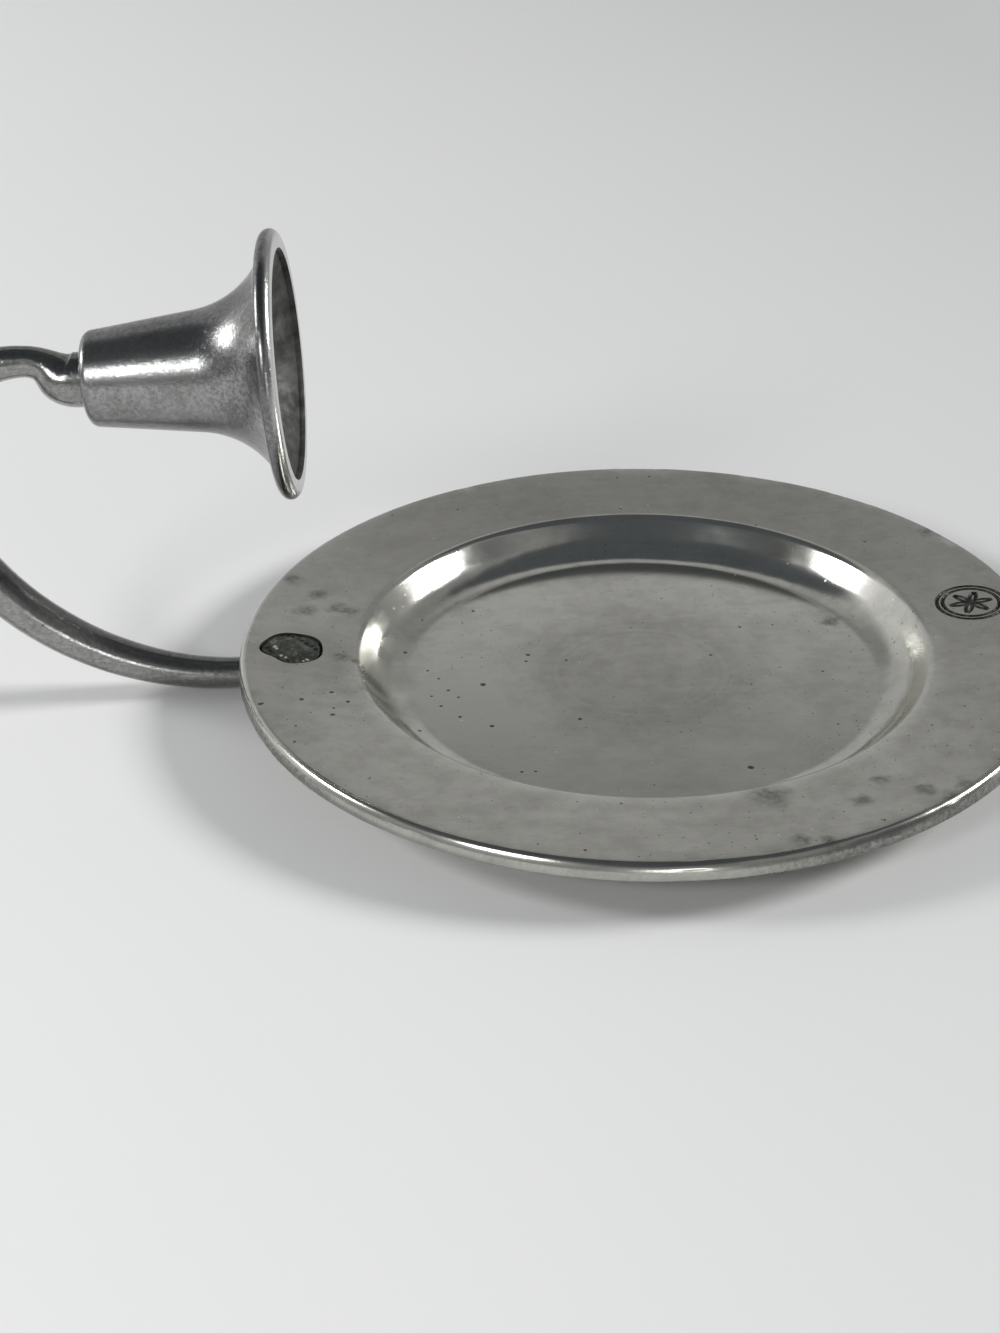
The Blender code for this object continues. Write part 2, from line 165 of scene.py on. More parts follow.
class PlateSettings(PropertyGroup):
    """Sizes and finish of the wall plate"""
    radius: length("Radius", (PLATE_HIGH.x - PLATE_LOW.x) / 2, "From the middle to the rim's edge")
    well_radius: length("Well radius", 86.5 * MM, "From the middle to the well's lip")
    well_depth: length("Well depth", 10.5 * MM, "Height of the well's lip over the sheet's back")
    floor: length("Floor", 2.2 * MM, "Thickness of the floor, worn thin by turning")
    wall_run: length("Wall run", 16.2 * MM, "Width of the well's hollow side, seen from above")
    rim_rise: length("Rim rise", 2.5 * MM, "How much the rim climbs from the well to its edge")
    sheet: length("Sheet", 3.0 * MM, "Thickness of the metal")
    lip_radius: length("Lip radius", 3.4 * MM, "Rounding where the rim turns down into the well")
    cove_radius: length("Cove radius", 12.8 * MM, "Hollow of the well's side down to its floor")
    back_lip: length("Back lip", 1.0 * MM, "Rounding of the lip, seen from the back")
    back_cove: length("Back cove", 8.2 * MM, "Rounding of the well's foot, seen from the back")
    back_run: length("Back run", 11.5 * MM, "Width of the well's side, seen from the back")
    edge_height: length("Edge height", 5.4 * MM, "Height of the thick edge")
    edge_width: length("Edge width", 5.0 * MM, "Width of the thick edge, seen from below")
    edge_round: length("Edge round", 1.9 * MM, "Rounding of the edge's upper corner")
    edge_side: length("Edge side", 5.0 * MM, "Rounding of the edge's bulging side")
    edge_turn: angle("Edge turn", 38.0, "Slope where the corner's rounding gives way to the side's")
    edge_low_round: length("Edge low round", 0.9 * MM, "Rounding of the edge's lower corner")
    unevenness: length("Unevenness", 0.05 * MM, "Depth of the slow waves that hand work leaves")
    wall_waves: length("Wall waves", 0.18 * MM, "Depth of the waves that finishing left in the well's wall")
    nick_depth: length("Nick depth", 0.16 * MM, "Depth of the dings along the edge")
    metal: colour("Metal", (0.700, 0.697, 0.648), "Clean pewter")
    tarnish: colour("Tarnish", (0.430, 0.424, 0.388), "Clouded pewter")
    # Colour of the stains and of the edge's darker patches, also used for the painted shade along the
    # well's lower left
    soil_and_shade: colour("Soil", (0.150, 0.155, 0.140), "Grime along the edge and in the stains")
    roughness: share("Roughness", 0.13, "How blurred its reflections are")


class MarkSettings(PropertyGroup):
    """Sizes and finish of the struck rosette on the rim"""
    from_centre: length("From centre", 103.0 * MM, "Distance of the rosette from the plate's middle")
    azimuth: angle("Azimuth", 8.6, "Turn from the hanger's side of the plate")
    ring_radius: length("Ring radius", 10.2 * MM, "Radius of the outer ring")
    inner_radius: length("Inner radius", 8.5 * MM, "Radius of the inner ring")
    petal_radius: length("Petal radius", 6.6 * MM, "Radius of the petals' arcs")
    line: length("Line", 0.68 * MM, "Half width of the struck lines")
    # Also the colour of the painted shade in the rivet's seat
    metal: colour("Metal", (0.022, 0.022, 0.020), "Oxide in the struck lines")


class RivetSettings(PropertyGroup):
    """Sizes and finish of the arm's rivet"""
    from_centre: length("From centre", 104.4 * MM, "Distance of the rivet from the plate's middle")
    head_radius: length("Head radius", 8.3 * MM, "Radius of the head")
    head_height: length("Head height", 0.9 * MM, "Height of the head's side")
    dome: length("Dome", 0.5 * MM, "Rise of the head's middle")
    shank_radius: length("Shank radius", 2.5 * MM, "Radius of the shank")
    recess: length("Recess", 1.4 * MM, "Depth of the seat cut into the rim")
    lean: length("Lean", 3.6 * MM, "How far the hammer drove the head sideways")
    flank: angle("Flank", 55.0, "Direction of the head's flat flank")
    hammering: length("Hammering", 0.45 * MM, "Depth of the hammer's dents in the head")
    metal: colour("Metal", (0.085, 0.093, 0.077), "Oxidised metal")
    worn: colour("Worn", (0.30, 0.32, 0.285), "Metal where the oxide is rubbed off")


class ArmSettings(PropertyGroup):
    """Sizes and finish of the arm"""
    edge_gap: length("Edge gap", 0.75 * MM, "Gap between the arm and the rim's edge")
    end_radius: length("End radius", 4.65 * MM, "Radius of the rod under the rim")
    belly_radius: length("Belly radius", 6.8 * MM, "Radius of the rod at its turn")
    neck_radius: length("Neck radius", 4.4 * MM, "Radius of the rod before the cup")
    pad_radius: length("Pad radius", 7.7 * MM, "Radius of the pad that carries the cup")
    pad_thickness: length("Pad thickness", 1.5 * MM, "Length of the pad's straight side")
    tail: length("Tail", 9.0 * MM, "How far the rod runs on past the rivet")
    nose_radius: length("Nose radius", 2.8 * MM, "Radius of the rod's blunt end")
    nose_length: length("Nose length", 2.3 * MM, "Length of the rod's rounding at its end")
    straight: length("Straight", 4.0 * MM, "How far the rod runs straight past the plate's edge")
    sweep_radius: length("Sweep radius", 85.0 * MM, "Radius of the wide sweep")
    sweep_angle: angle("Sweep angle", 69.8, "Turn of the wide sweep")
    curl_radius: length("Curl radius", 33.3 * MM, "Radius of the tight curl")
    drop: length("Drop", 5.6 * MM, "Fall from the neck to the cup")
    drop_run: length("Drop run", 17.1 * MM, "Length of the fall from the neck to the cup")
    boss_radius: length("Boss radius", 4.2 * MM, "Radius of the boss that takes the rivet")
    unevenness: length("Unevenness", 0.10 * MM, "Depth of the casting's slow waves")
    metal: colour("Metal", (0.355, 0.357, 0.347), "Clean pewter")
    tarnish: colour("Tarnish", (0.215, 0.217, 0.210), "Clouded pewter")
    roughness: share("Roughness", 0.13, "How blurred its reflections are")


class CupSettings(PropertyGroup):
    """Sizes and finish of the candle cup"""
    tilt: angle("Tilt", 2.9, "Tilt of the cup's axis out of the plate's plane")
    base_radius: length("Base radius", 13.4 * MM, "Radius of the narrow end")
    base_round: length("Base round", 2.8 * MM, "Rounding of the narrow end's edge")
    barrel_radius: length("Barrel radius", 16.9 * MM, "Radius where the flare starts")
    barrel_length: length("Barrel length", 31.1 * MM, "Length up to the flare")
    flare_radius: length("Flare radius", 27.0 * MM, "Radius of the flare's curve")
    flare_end: angle("Flare end", 72.0, "Slope at the flare's end")
    lip_reach: length("Lip reach", 1.0 * MM, "How far the wall runs on past the flare")
    lip_bead: length("Lip bead", 2.35 * MM, "Radius of the bead round the lip")
    lip_face: length("Lip face", 3.2 * MM, "Width of the lip's flat face")
    wall: length("Wall", 2.7 * MM, "Thickness of the wall")
    floor: length("Floor", 4.0 * MM, "Thickness of the floor")
    unevenness: length("Unevenness", 0.05 * MM, "Depth of the slow waves that hand work leaves")
    metal: colour("Metal", (0.375, 0.38, 0.376), "Clean pewter")
    tarnish: colour("Tarnish", (0.215, 0.217, 0.211), "Clouded pewter")
    soot: colour("Soot", (0.040, 0.040, 0.037), "Darkened metal of the inside")
    roughness: share("Roughness", 0.19, "How blurred its reflections are")


class ScrewSettings(PropertyGroup):
    """Sizes and finish of the cup's screw"""
    radius: length("Radius", 2.2 * MM, "Radius of the shank")
    depth: length("Depth", 6.0 * MM, "Length of the shank in the arm")
    head_radius: length("Head radius", 4.5 * MM, "Radius of the head")
    head_height: length("Head height", 2.6 * MM, "Height of the head")
    slot_width: length("Slot width", 1.2 * MM, "Width of the slot")
    slot_depth: length("Slot depth", 1.1 * MM, "Depth of the slot")
    metal: colour("Metal", (0.38, 0.37, 0.355), "Plain steel")
    tarnish: colour("Tarnish", (0.20, 0.17, 0.14), "Rust-dulled steel")
    roughness: share("Roughness", 0.38, "How blurred its reflections are")


class HangerSettings(PropertyGroup):
    """Sizes and finish of the hanging lug and its ring"""
    lug_thickness: length("Lug thickness", 3.0 * MM, "Thickness of the lug")
    foot_width: length("Foot width", 13.0 * MM, "Length of the soldered foot")
    foot_height: length("Foot height", 1.6 * MM, "Height of the soldered foot")
    eye_radius: length("Eye radius", 3.4 * MM, "Outer radius of the eye")
    eye_drop: length("Eye drop", 4.6 * MM, "Distance of the eye from the foot")
    ring_radius: length("Ring radius", 8.5 * MM, "Radius of the ring at its wire's middle")
    wire_radius: length("Wire radius", 1.0 * MM, "Radius of the ring's wire")
    play: length("Play", 0.6 * MM, "Play of the wire in its eye")
    metal: colour("Metal", (0.42, 0.415, 0.40), "Pewter as it was cast")
    tarnish: colour("Tarnish", (0.26, 0.255, 0.24), "Clouded pewter")
    brass: colour("Brass", (0.50, 0.37, 0.17), "Drawn brass wire")
    brown: colour("Brown", (0.20, 0.13, 0.06), "Aged brass")


class StageSettings(PropertyGroup):
    """The table, the lamps and the camera"""
    # The table's colours on the left and on the right: painted light, lighter on the left
    table: colour("Table", (0.93, 0.93, 0.925), "The pale table on the left")
    table_shaded_right: colour("Table right", (0.68, 0.68, 0.678), "The pale table on the right")
    far_side: colour("Far side", (0.46, 0.46, 0.46), "The pale sheet behind the table")
    far_fold: colour("Far fold", (0.235, 0.235, 0.235), "A dimmer fold across that sheet")
    far_left: colour("Far left", (0.72, 0.72, 0.72), "The same sheet near the left lamp")
    far_right: colour("Far right", (0.27, 0.27, 0.27), "The same sheet away from that lamp")
    near_left: colour("Near left", (0.32, 0.32, 0.32), "The room on the left")
    near_side: colour("Near side", (0.27, 0.27, 0.27), "The room behind the camera and on the right")
    overhead: colour("Overhead", (0.082, 0.090, 0.098), "The dim room above")
    lamp_level: FloatProperty(name="Lamp level", description="Brightness of the lamps", default=6.0)
    focal_pixels: FloatProperty(
        name="Focal length", description="Focal length in pixels of the image", default=2003.0,
    )
    camera_place: FloatVectorProperty(
        name="Camera place", description="Where the camera stands", subtype="XYZ", unit="LENGTH",
        default=(-0.04249, -0.52346, 0.30574),
    )
    camera_pitch: angle("Camera pitch", 29.8885, "How far the camera looks down")
    camera_roll: angle("Camera roll", -1.3579, "Turn of the camera about its view")


class SconceSettings(PropertyGroup):
    """All settings of the sconce"""
    plate: PointerProperty(type=PlateSettings)
    mark: PointerProperty(type=MarkSettings)
    rivet: PointerProperty(type=RivetSettings)
    arm: PointerProperty(type=ArmSettings)
    cup: PointerProperty(type=CupSettings)
    screw: PointerProperty(type=ScrewSettings)
    hanger: PointerProperty(type=HangerSettings)
    stage: PointerProperty(type=StageSettings)


# Places of the pieces, worked out from the settings

def rim_slope(plate):
    """Slope of the rim's face."""
    return atan2(plate.rim_rise, plate.radius - plate.well_radius)


def rim_height(plate, radius):
    """Height of the rim's face at a distance from the plate's middle."""
    top = plate.sheet + plate.well_depth + plate.rim_rise
    return top - (plate.radius - radius) * plate.rim_rise / (plate.radius - plate.well_radius)


def rim_frame(plate, radius, azimuth):
    """Frame on the rim's face: X outward, Z square to the face."""
    turn = Matrix.Rotation(azimuth, 4, "Z")
    place = Matrix.Translation((radius, 0.0, rim_height(plate, radius)))
    return turn @ place @ Matrix.Rotation(-rim_slope(plate), 4, "Y")


def edge_low(plate):
    """Height of the thick edge's lower face."""
    return rim_height(plate, plate.radius) - plate.edge_height


def rivet_frame(sconce):
    """Frame of the rivet's seat on the rim, opposite the hanger."""
    return rim_frame(sconce.plate, sconce.rivet.from_centre, pi)


def hammered_out(rivet, point, part, gap=0.0):
    """Where hammering drove a point of the round head: it leans to one side and is flat on one flank."""
    turn = atan2(point.y, point.x)
    flank = exp(-((turn - rivet.flank) / FLANK_HALF_TURN) ** 2)
    ripple = RIPPLE * sin(RIPPLES * turn + RIPPLE_START)
    wide = HEAD_SPREAD - FLANK_LOSS * flank + ripple + gap / rivet.head_radius
    return Vector(point.xy) * (1 + (wide - 1) * part) + Vector((0.0, rivet.lean * part))


def arm_height(sconce):
    """Height of the rod's middle where it runs under the rim."""
    return edge_low(sconce.plate) - sconce.arm.edge_gap - sconce.arm.end_radius


def arm_start(sconce):
    """Where the rod ends its straight run past the plate's edge and starts to rise."""
    return -(sconce.plate.radius + sconce.arm.straight)


def arm_neck(sconce):
    """Top of the arm's curl, where the drop to the cup starts."""
    arm = sconce.arm
    offset = arm.sweep_radius - arm.curl_radius
    start = arm_start(sconce)
    height = arm_height(sconce) + arm.sweep_radius + arm.curl_radius
    return Vector((
        start - offset * sin(arm.sweep_angle), 0.0, height - offset * cos(arm.sweep_angle),
    ))


def cup_axis(sconce):
    """Direction from the cup's narrow end to its mouth."""
    return Vector((cos(sconce.cup.tilt), 0.0, sin(sconce.cup.tilt)))


def arm_tip(sconce):
    """Middle of the pad's face, where the cup sits."""
    return arm_neck(sconce) + Vector((sconce.arm.drop_run, 0.0, -sconce.arm.drop))


def cup_frame(sconce):
    """Frame at the cup's narrow end, Z along the cup's axis."""
    place = Matrix.Translation(arm_tip(sconce) + cup_axis(sconce) * GAP)
    return place @ Matrix.Rotation(pi / 2 - sconce.cup.tilt, 4, "Y")


def lug_frame(sconce):
    """Frame at the lug's foot under the rim, Z square to the rim."""
    plate = sconce.plate
    middle = (plate.well_radius + plate.radius - plate.edge_width) / 2
    return rim_frame(plate, middle, 0.0) @ Matrix.Translation((0.0, 0.0, -plate.sheet - GAP))


# Mesh work

def arc(centre, radius, start, end, steps=ARC_STEPS):
    """Points (radius, height) on an arc; angles in radians from the outward direction."""
    return [
        (centre[0] + radius * cos(start + (end - start) * i / steps),
         centre[1] + radius * sin(start + (end - start) * i / steps))
        for i in range(steps + 1)
    ]


def run(start, end, steps):
    """Points between two ends of a straight stretch, both left out."""
    return [
        (start[0] + (end[0] - start[0]) * i / steps, start[1] + (end[1] - start[1]) * i / steps)
        for i in range(1, steps)
    ]


def close_up(shape):
    """Merge a shape's doubled points and turn its faces outward."""
    bmesh.ops.remove_doubles(shape, verts=shape.verts, dist=MERGE_DISTANCE)
    bmesh.ops.recalc_face_normals(shape, faces=shape.faces)
    shape.normal_update()


def turned(profile, steps, closed=False):
    """A profile of (radius, height) points spun about Z."""
    shape = bmesh.new()
    points = [shape.verts.new((r, 0.0, z)) for r, z in profile]
    ends = points[1:] + points[:1] if closed else points[1:]
    lines = [shape.edges.new(pair) for pair in zip(points, ends)]
    bmesh.ops.spin(
        shape, geom=points + lines, axis=(0.0, 0.0, 1.0), cent=(0.0, 0.0, 0.0),
        angle=2 * pi, steps=steps, use_merge=True,
    )
    close_up(shape)
    return shape


def rod_station(point, direction, radius):
    """Frame of one ring of a rod that bends in the XZ plane."""
    side = Vector((0.0, 1.0, 0.0))
    across = side.cross(direction)
    turn = Matrix((across, side, direction)).transposed().to_4x4()
    return Matrix.Translation(point) @ turn @ Matrix.Diagonal((radius, radius, radius, 1.0))


def swept(path, sides):
    """A round rod through (point, direction, radius) stations, closed at both ends."""
    shape = bmesh.new()
    before = rod_station(*path[0])
    bmesh.ops.create_circle(shape, cap_ends=True, segments=sides, radius=1.0, matrix=before)
    ring = list(shape.edges)
    for station in path[1:]:
        after = rod_station(*station)
        made = bmesh.ops.extrude_edge_only(shape, edges=ring)["geom"]
        points = {item for item in made if isinstance(item, bmesh.types.BMVert)}
        ring = [
            item for item in made
            if isinstance(item, bmesh.types.BMEdge) and points.issuperset(item.verts)
        ]
        bmesh.ops.transform(shape, matrix=after @ before.inverted(), verts=list(points))
        before = after
    bmesh.ops.contextual_create(shape, geom=ring)
    close_up(shape)
    return shape


def bent_tube(shape, centre, radius, tube, start, sweep, steps, sides):
    """A round tube along an arc in the XY plane, added to a shape."""
    full = abs(sweep) >= 2 * pi
    place = (
        Matrix.Translation(centre) @ Matrix.Rotation(start, 4, "Z")
        @ Matrix.Translation((radius, 0.0, 0.0)) @ Matrix.Rotation(pi / 2, 4, "X")
    )
    disc = bmesh.ops.create_circle(
        shape, cap_ends=not full, segments=sides, radius=tube, matrix=place,
    )["verts"]
    lines = {line for point in disc for line in point.link_edges}
    faces = {face for point in disc for face in point.link_faces}
    bmesh.ops.spin(
        shape, geom=list(disc) + list(lines) + list(faces), cent=centre, axis=(0.0, 0.0, 1.0),
        angle=sweep, steps=steps, use_merge=full,
    )


def pressed_in(shape, amount, size, where=None):
    """Press points in by smooth noise, as hand work leaves a surface, where a point's share isn't 0.
    It never adds metal."""
    shape.normal_update()
    for point in shape.verts:
        part = 1.0 if where is None else where(point.co)
        if part:
            depth = part * amount * (0.5 + 0.5 * noise.noise(point.co / size))
            point.co -= point.normal * max(0.0, depth)


def new_object(name, shape, materials=()):
    """An object at the origin from a shape, smooth but for its hard edges."""
    mesh = bpy.data.meshes.new(name)
    shape.to_mesh(mesh)
    shape.free()
    mesh.shade_smooth()
    mesh.set_sharp_from_angle(angle=SHARP_ANGLE)
    for material in materials:
        mesh.materials.append(material)
    piece = bpy.data.objects.new(name, mesh)
    bpy.context.scene.collection.objects.link(piece)
    return piece


def combine(piece, shape, operation="DIFFERENCE", slot=0):
    """Cut a shape out of a piece, or join it on; the new faces take one of the piece's finishes."""
    for face in shape.faces:
        face.material_index = slot
    tool = new_object("tool", shape, piece.data.materials)
    modifier = piece.modifiers.new("Combine", "BOOLEAN")
    modifier.operation = operation
    modifier.solver = "EXACT"
    modifier.object = tool
    bpy.context.view_layer.update()
    done = bpy.data.meshes.new_from_object(
        piece.evaluated_get(bpy.context.evaluated_depsgraph_get())
    )
    piece.modifiers.clear()
    done.set_sharp_from_angle(angle=SHARP_ANGLE)
    piece.data = done
    bpy.data.objects.remove(tool)


def pin(radius, low, high, frame_of_pin, steps=PIN_STEPS):
    """A plain round pin between two heights of a frame."""
    shape = bmesh.new()
    bmesh.ops.create_cone(
        shape, cap_ends=True, segments=steps, radius1=radius, radius2=radius, depth=high - low,
        matrix=frame_of_pin @ Matrix.Translation((0.0, 0.0, (low + high) / 2)),
    )
    return shape


def block(size, place):
    """A box of a given size in a frame."""
    shape = bmesh.new()
    bmesh.ops.create_cube(shape, size=1.0, matrix=place @ Matrix.Diagonal((*size, 1.0)))
    return shape


def seat(piece, node, body):
    """Say which node a piece stands for and which body it rides on."""
    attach(piece, body)
    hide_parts(node)


# Materials

def put(tree, kind, inputs=None, **settings):
    """Add a node: settings are its own values, inputs are socket values or the sockets that feed them."""
    node = tree.nodes.new(kind)
    for name, value in settings.items():
        setattr(node, name, value)
    for name, value in (inputs or {}).items():
        if isinstance(value, bpy.types.NodeSocket):
            tree.links.new(value, node.inputs[name])
        else:
            node.inputs[name].default_value = value
    return node


def maths(tree, operation, first, second=0.0, third=0.0):
    """Arithmetic on sockets or numbers."""
    return put(
        tree, "ShaderNodeMath", {0: first, 1: second, 2: third}, operation=operation,
    ).outputs[0]


def times(tree, first, second):
    """Product of two values."""
    return maths(tree, "MULTIPLY", first, second)


def larger(tree, first, second):
    """The larger of two values."""
    return maths(tree, "MAXIMUM", first, second)


def scaled_sum(tree, *terms, base=0.0):
    """A base plus some values, each times its weight."""
    total = base
    for value, weight in terms:
        total = maths(tree, "MULTIPLY_ADD", value, weight, total)
    return total


def vectors(tree, operation, first, second=(0.0, 0.0, 0.0), third=(0.0, 0.0, 0.0)):
    """Vector maths; a length or a distance comes out as a number."""
    node = put(tree, "ShaderNodeVectorMath", {0: first, 1: second, 2: third}, operation=operation)
    return node.outputs["Value" if operation in ("LENGTH", "DISTANCE") else "Vector"]


def axes(tree, place):
    """A place's X, Y and Z."""
    return put(tree, "ShaderNodeSeparateXYZ", {"Vector": place}).outputs


def flattened(tree, place):
    """A place without its height."""
    return vectors(tree, "MULTIPLY", place, (1.0, 1.0, 0.0))


def distance_from_axis(tree, place):
    """How far a place is from its own Z axis."""
    return vectors(tree, "LENGTH", flattened(tree, place))


def ramp(tree, value, low, high, start=0.0, end=1.0, smooth=True):
    """Carry a value from one range to another, and hold it at the ends."""
    return put(
        tree, "ShaderNodeMapRange",
        {"Value": value, "From Min": low, "From Max": high, "To Min": start, "To Max": end},
        interpolation_type="SMOOTHSTEP" if smooth else "LINEAR",
    ).outputs["Result"]


def blend(tree, factor, first, second, weight=1.0):
    """Mix two colours by a factor, which counts by its weight."""
    if weight != 1.0:
        factor = times(tree, factor, weight)
    node = put(tree, "ShaderNodeMix", {"Factor": factor}, data_type="RGBA")
    for socket, value in ((node.inputs[6], first), (node.inputs[7], second)):
        if isinstance(value, bpy.types.NodeSocket):
            tree.links.new(value, socket)
        else:
            socket.default_value = (*value, 1.0)
    return node.outputs[2]


def own_space(tree, piece_frame):
    """The piece's own millimetres, with Z along the frame's Z."""
    coordinates = put(tree, "ShaderNodeTexCoord").outputs["Object"]
    return put(
        tree, "ShaderNodeMapping",
        {
            "Vector": coordinates,
            "Location": piece_frame.translation,
            "Rotation": piece_frame.to_euler(),
            "Scale": (MM, MM, MM),
        },
        vector_type="TEXTURE",
    ).outputs["Vector"]


def stretched(tree, place, scale, turn=0.0):
    """The piece's space turned about Z and stretched, for patterns with a direction."""
    return put(
        tree, "ShaderNodeMapping",
        {"Vector": place, "Rotation": (0.0, 0.0, turn), "Scale": scale},
    ).outputs["Vector"]


def clouds(tree, place, per_mm, detail=3.0, rough=0.55, warp=0.0):
    """Smooth noise in the piece's own millimetres."""
    return put(
        tree, "ShaderNodeTexNoise",
        {"Vector": place, "Scale": per_mm, "Detail": detail, "Roughness": rough, "Distortion": warp},
    ).outputs["Fac"]


def patches(tree, place, per_mm, low, high, detail=3.0, rough=0.55, warp=0.0):
    """Clouds with their middle range spread out: 0 between the patches and 1 inside them."""
    return ramp(tree, clouds(tree, place, per_mm, detail, rough, warp), low, high)


def hairlines(tree, place):
    """Fine crossing scratches, as cloths and cutlery leave them."""
    total = None
    for turn, wide, tall in ((0.35, 0.045, 2.6), (1.45, 0.035, 3.1), (2.55, 0.055, 2.2)):
        thin = patches(tree, stretched(tree, place, (wide, tall, 1.0), turn), 1.0, 0.64, 0.70, 2.0, 0.5)
        total = thin if total is None else larger(tree, total, thin)
    return total


def pinholes(tree, place, per_mm, size_mm, kept, flat=False):
    """Small round pits: one in some cells of a Voronoi pattern, each of its own size."""
    cells = put(
        tree, "ShaderNodeTexVoronoi", {"Vector": place, "Scale": per_mm},
        voronoi_dimensions="2D" if flat else "3D",
    )
    chance = put(tree, "ShaderNodeSeparateColor", {"Color": cells.outputs["Color"]}).outputs[0]
    limit = ramp(tree, chance, 1.0 - kept, 1.0, 0.0, size_mm * per_mm, smooth=False)
    inside = maths(tree, "SUBTRACT", limit, cells.outputs["Distance"])
    return ramp(tree, inside, 0.0, size_mm * per_mm * 0.35)


def spots(tree, place, centres, soft, stray):
    """Spots round given places (x, y, radius in mm), whose outlines stray from a circle."""
    wobble = put(
        tree, "ShaderNodeTexNoise", {"Vector": place, "Scale": 0.22, "Detail": 4.0},
    ).outputs["Color"]
    shift = vectors(tree, "SUBTRACT", wobble, (0.5, 0.5, 0.5))
    flat = flattened(tree, vectors(tree, "MULTIPLY_ADD", shift, (stray, stray, 0.0), place))
    total = None
    for x, y, radius in centres:
        away = vectors(tree, "DISTANCE", flat, (x, y, 0.0))
        spot = ramp(tree, away, radius * (1.0 - soft), radius, 1.0, 0.0)
        total = spot if total is None else larger(tree, total, spot)
    return total


def lathe_lines(tree, along, per_mm):
    """Turning marks: lines of uneven depth at even distances along a radius or an axis."""
    return put(
        tree, "ShaderNodeTexNoise", {"W": along, "Scale": per_mm, "Detail": 3.0, "Roughness": 0.7},
        noise_dimensions="1D",
    ).outputs["Fac"]


def new_finish(name, piece_frame, metallic=1.0):
    """A bare material, its tree and the piece's own millimetres in it."""
    material = bpy.data.materials.new(name)
    material.use_nodes = True
    tree = material.node_tree
    tree.nodes["Principled BSDF"].inputs["Metallic"].default_value = metallic
    return material, tree, own_space(tree, piece_frame)


def finished(material, tone, rough, height, depth, strength):
    """Give a material its colour, its roughness and a fine relief that catches the light."""
    tree = material.node_tree
    shader = tree.nodes["Principled BSDF"]
    bump = put(tree, "ShaderNodeBump", {"Height": height, "Strength": strength, "Distance": depth})
    tree.links.new(tone, shader.inputs["Base Color"])
    tree.links.new(rough, shader.inputs["Roughness"])
    tree.links.new(bump.outputs["Normal"], shader.inputs["Normal"])
    return material


# Colours of the marks that age and use leave, and of the painted shade, highlights and sheen
SCRATCH = (0.75, 0.75, 0.74)
SPECK = (0.07, 0.07, 0.068)
PIT = (0.012, 0.012, 0.012)
OXIDE_AND_SHADE = (0.03, 0.03, 0.028)
SMUDGE_AND_SHADE = (0.09, 0.092, 0.088)
POLISH_AND_SHEEN = (0.66, 0.66, 0.65)
DUST = (0.95, 0.95, 0.94)
CRACK_AND_SHADE = (0.012, 0.012, 0.011)
PAINTED_HIGHLIGHT = (0.72, 0.72, 0.69)
TABLE_CLOUD = (0.5, 0.5, 0.5)

# Where the cup's smudges, its painted shade underneath and its lip's polish and painted sheen start and are
# full: along its axis, or under it, in millimetres
FLARE_SMUDGE = (28.0, 42.0)
LIP_POLISH_AND_SHEEN = (54.0, 56.0)
UNDERSIDE_SHADE = (1.0, 13.0)

# From where to where the painted shading darkens the table to the right, in millimetres
TABLE_SHADING = (-220.0, 420.0)

# Stains, a waxy film, painted shade along the well's lower left and single deep pits on the plate's face as
# (x, y, radius) in millimetres
PLATE_STAINS = (
    (67.6, -87.6, 4.0), (78.5, -85.7, 4.0), (73.2, -92.5, 4.2), (50.0, -91.5, 4.2), (31.9, -109.7, 4.0),
    (38.9, -110.0, 3.6), (27.3, -86.7, 8.5), (57.2, -80.8, 4.0), (-107.0, 40.0, 4.5), (-98.5, 31.0, 4.5),
    (-102.5, 20.0, 5.5), (-92.5, 22.5, 5.0), (-88.5, 20.5, 4.5), (-89.5, -7.5, 4.5), (-85.0, -8.5, 3.0),
    (98.0, 62.0, 4.5), (62.0, 28.0, 5.0),
)
PLATE_WAX = ((-80.0, -2.0, 15.0), (-76.0, -22.0, 13.0), (-74.0, 14.0, 8.0))
PLATE_PAINTED_SHADE = (
    (-80.0, -14.0, 6.0), (-77.5, -23.5, 6.5), (-74.0, -32.8, 6.5), (-69.5, -41.5, 6.5), (-64.0, -49.5, 6.0),
    (-57.5, -57.0, 5.5), (-50.0, -63.5, 5.0),
)
PLATE_PITS = (
    (-90.9, -28.7, 0.8), (-99.0, -33.5, 0.9), (-86.0, -33.8, 0.8), (-89.8, -41.6, 0.9), (-89.7, -37.8, 0.6),
    (-110.6, -36.8, 0.9), (-47.7, -6.0, 1.2), (-45.2, -29.8, 0.9), (-19.6, -27.0, 0.8), (26.6, -55.1, 1.2),
    (-37.1, -54.6, 0.7), (-50.7, 40.7, 0.7), (-71.6, 14.3, 0.8), (-64.4, 3.0, 0.6), (-61.0, -2.0, 0.6),
    (-58.0, -9.0, 0.7), (-63.0, -12.0, 0.6), (-60.0, -18.0, 0.7), (-55.0, -13.0, 0.6), (-54.5, -24.3, 0.7),
    (-33.8, 11.3, 0.9), (-34.5, 7.5, 0.7),
)

# Cracks with painted shade, and painted highlights, on the rivet's head as (x, y, radius) in millimetres
RIVET_CRACKS_AND_SHADE = (
    (1.5, -4.6, 1.0), (0.0, -3.6, 1.1), (-1.5, -2.4, 1.1), (-2.8, -1.0, 1.1), (-4.2, 0.3, 1.2),
    (-5.6, 1.8, 1.3), (-7.0, 3.2, 1.4), (6.9, 3.4, 1.5), (6.0, 5.0, 1.1), (3.6, 9.4, 0.9),
    (0.4, 10.4, 0.8),
)
RIVET_PAINTED_HIGHLIGHTS = (
    (5.0, 2.9, 0.9), (4.4, 3.9, 0.7), (2.6, 7.7, 0.7), (1.2, 8.6, 0.6), (-5.1, 9.4, 0.8),
    (-4.0, 10.2, 0.5),
)


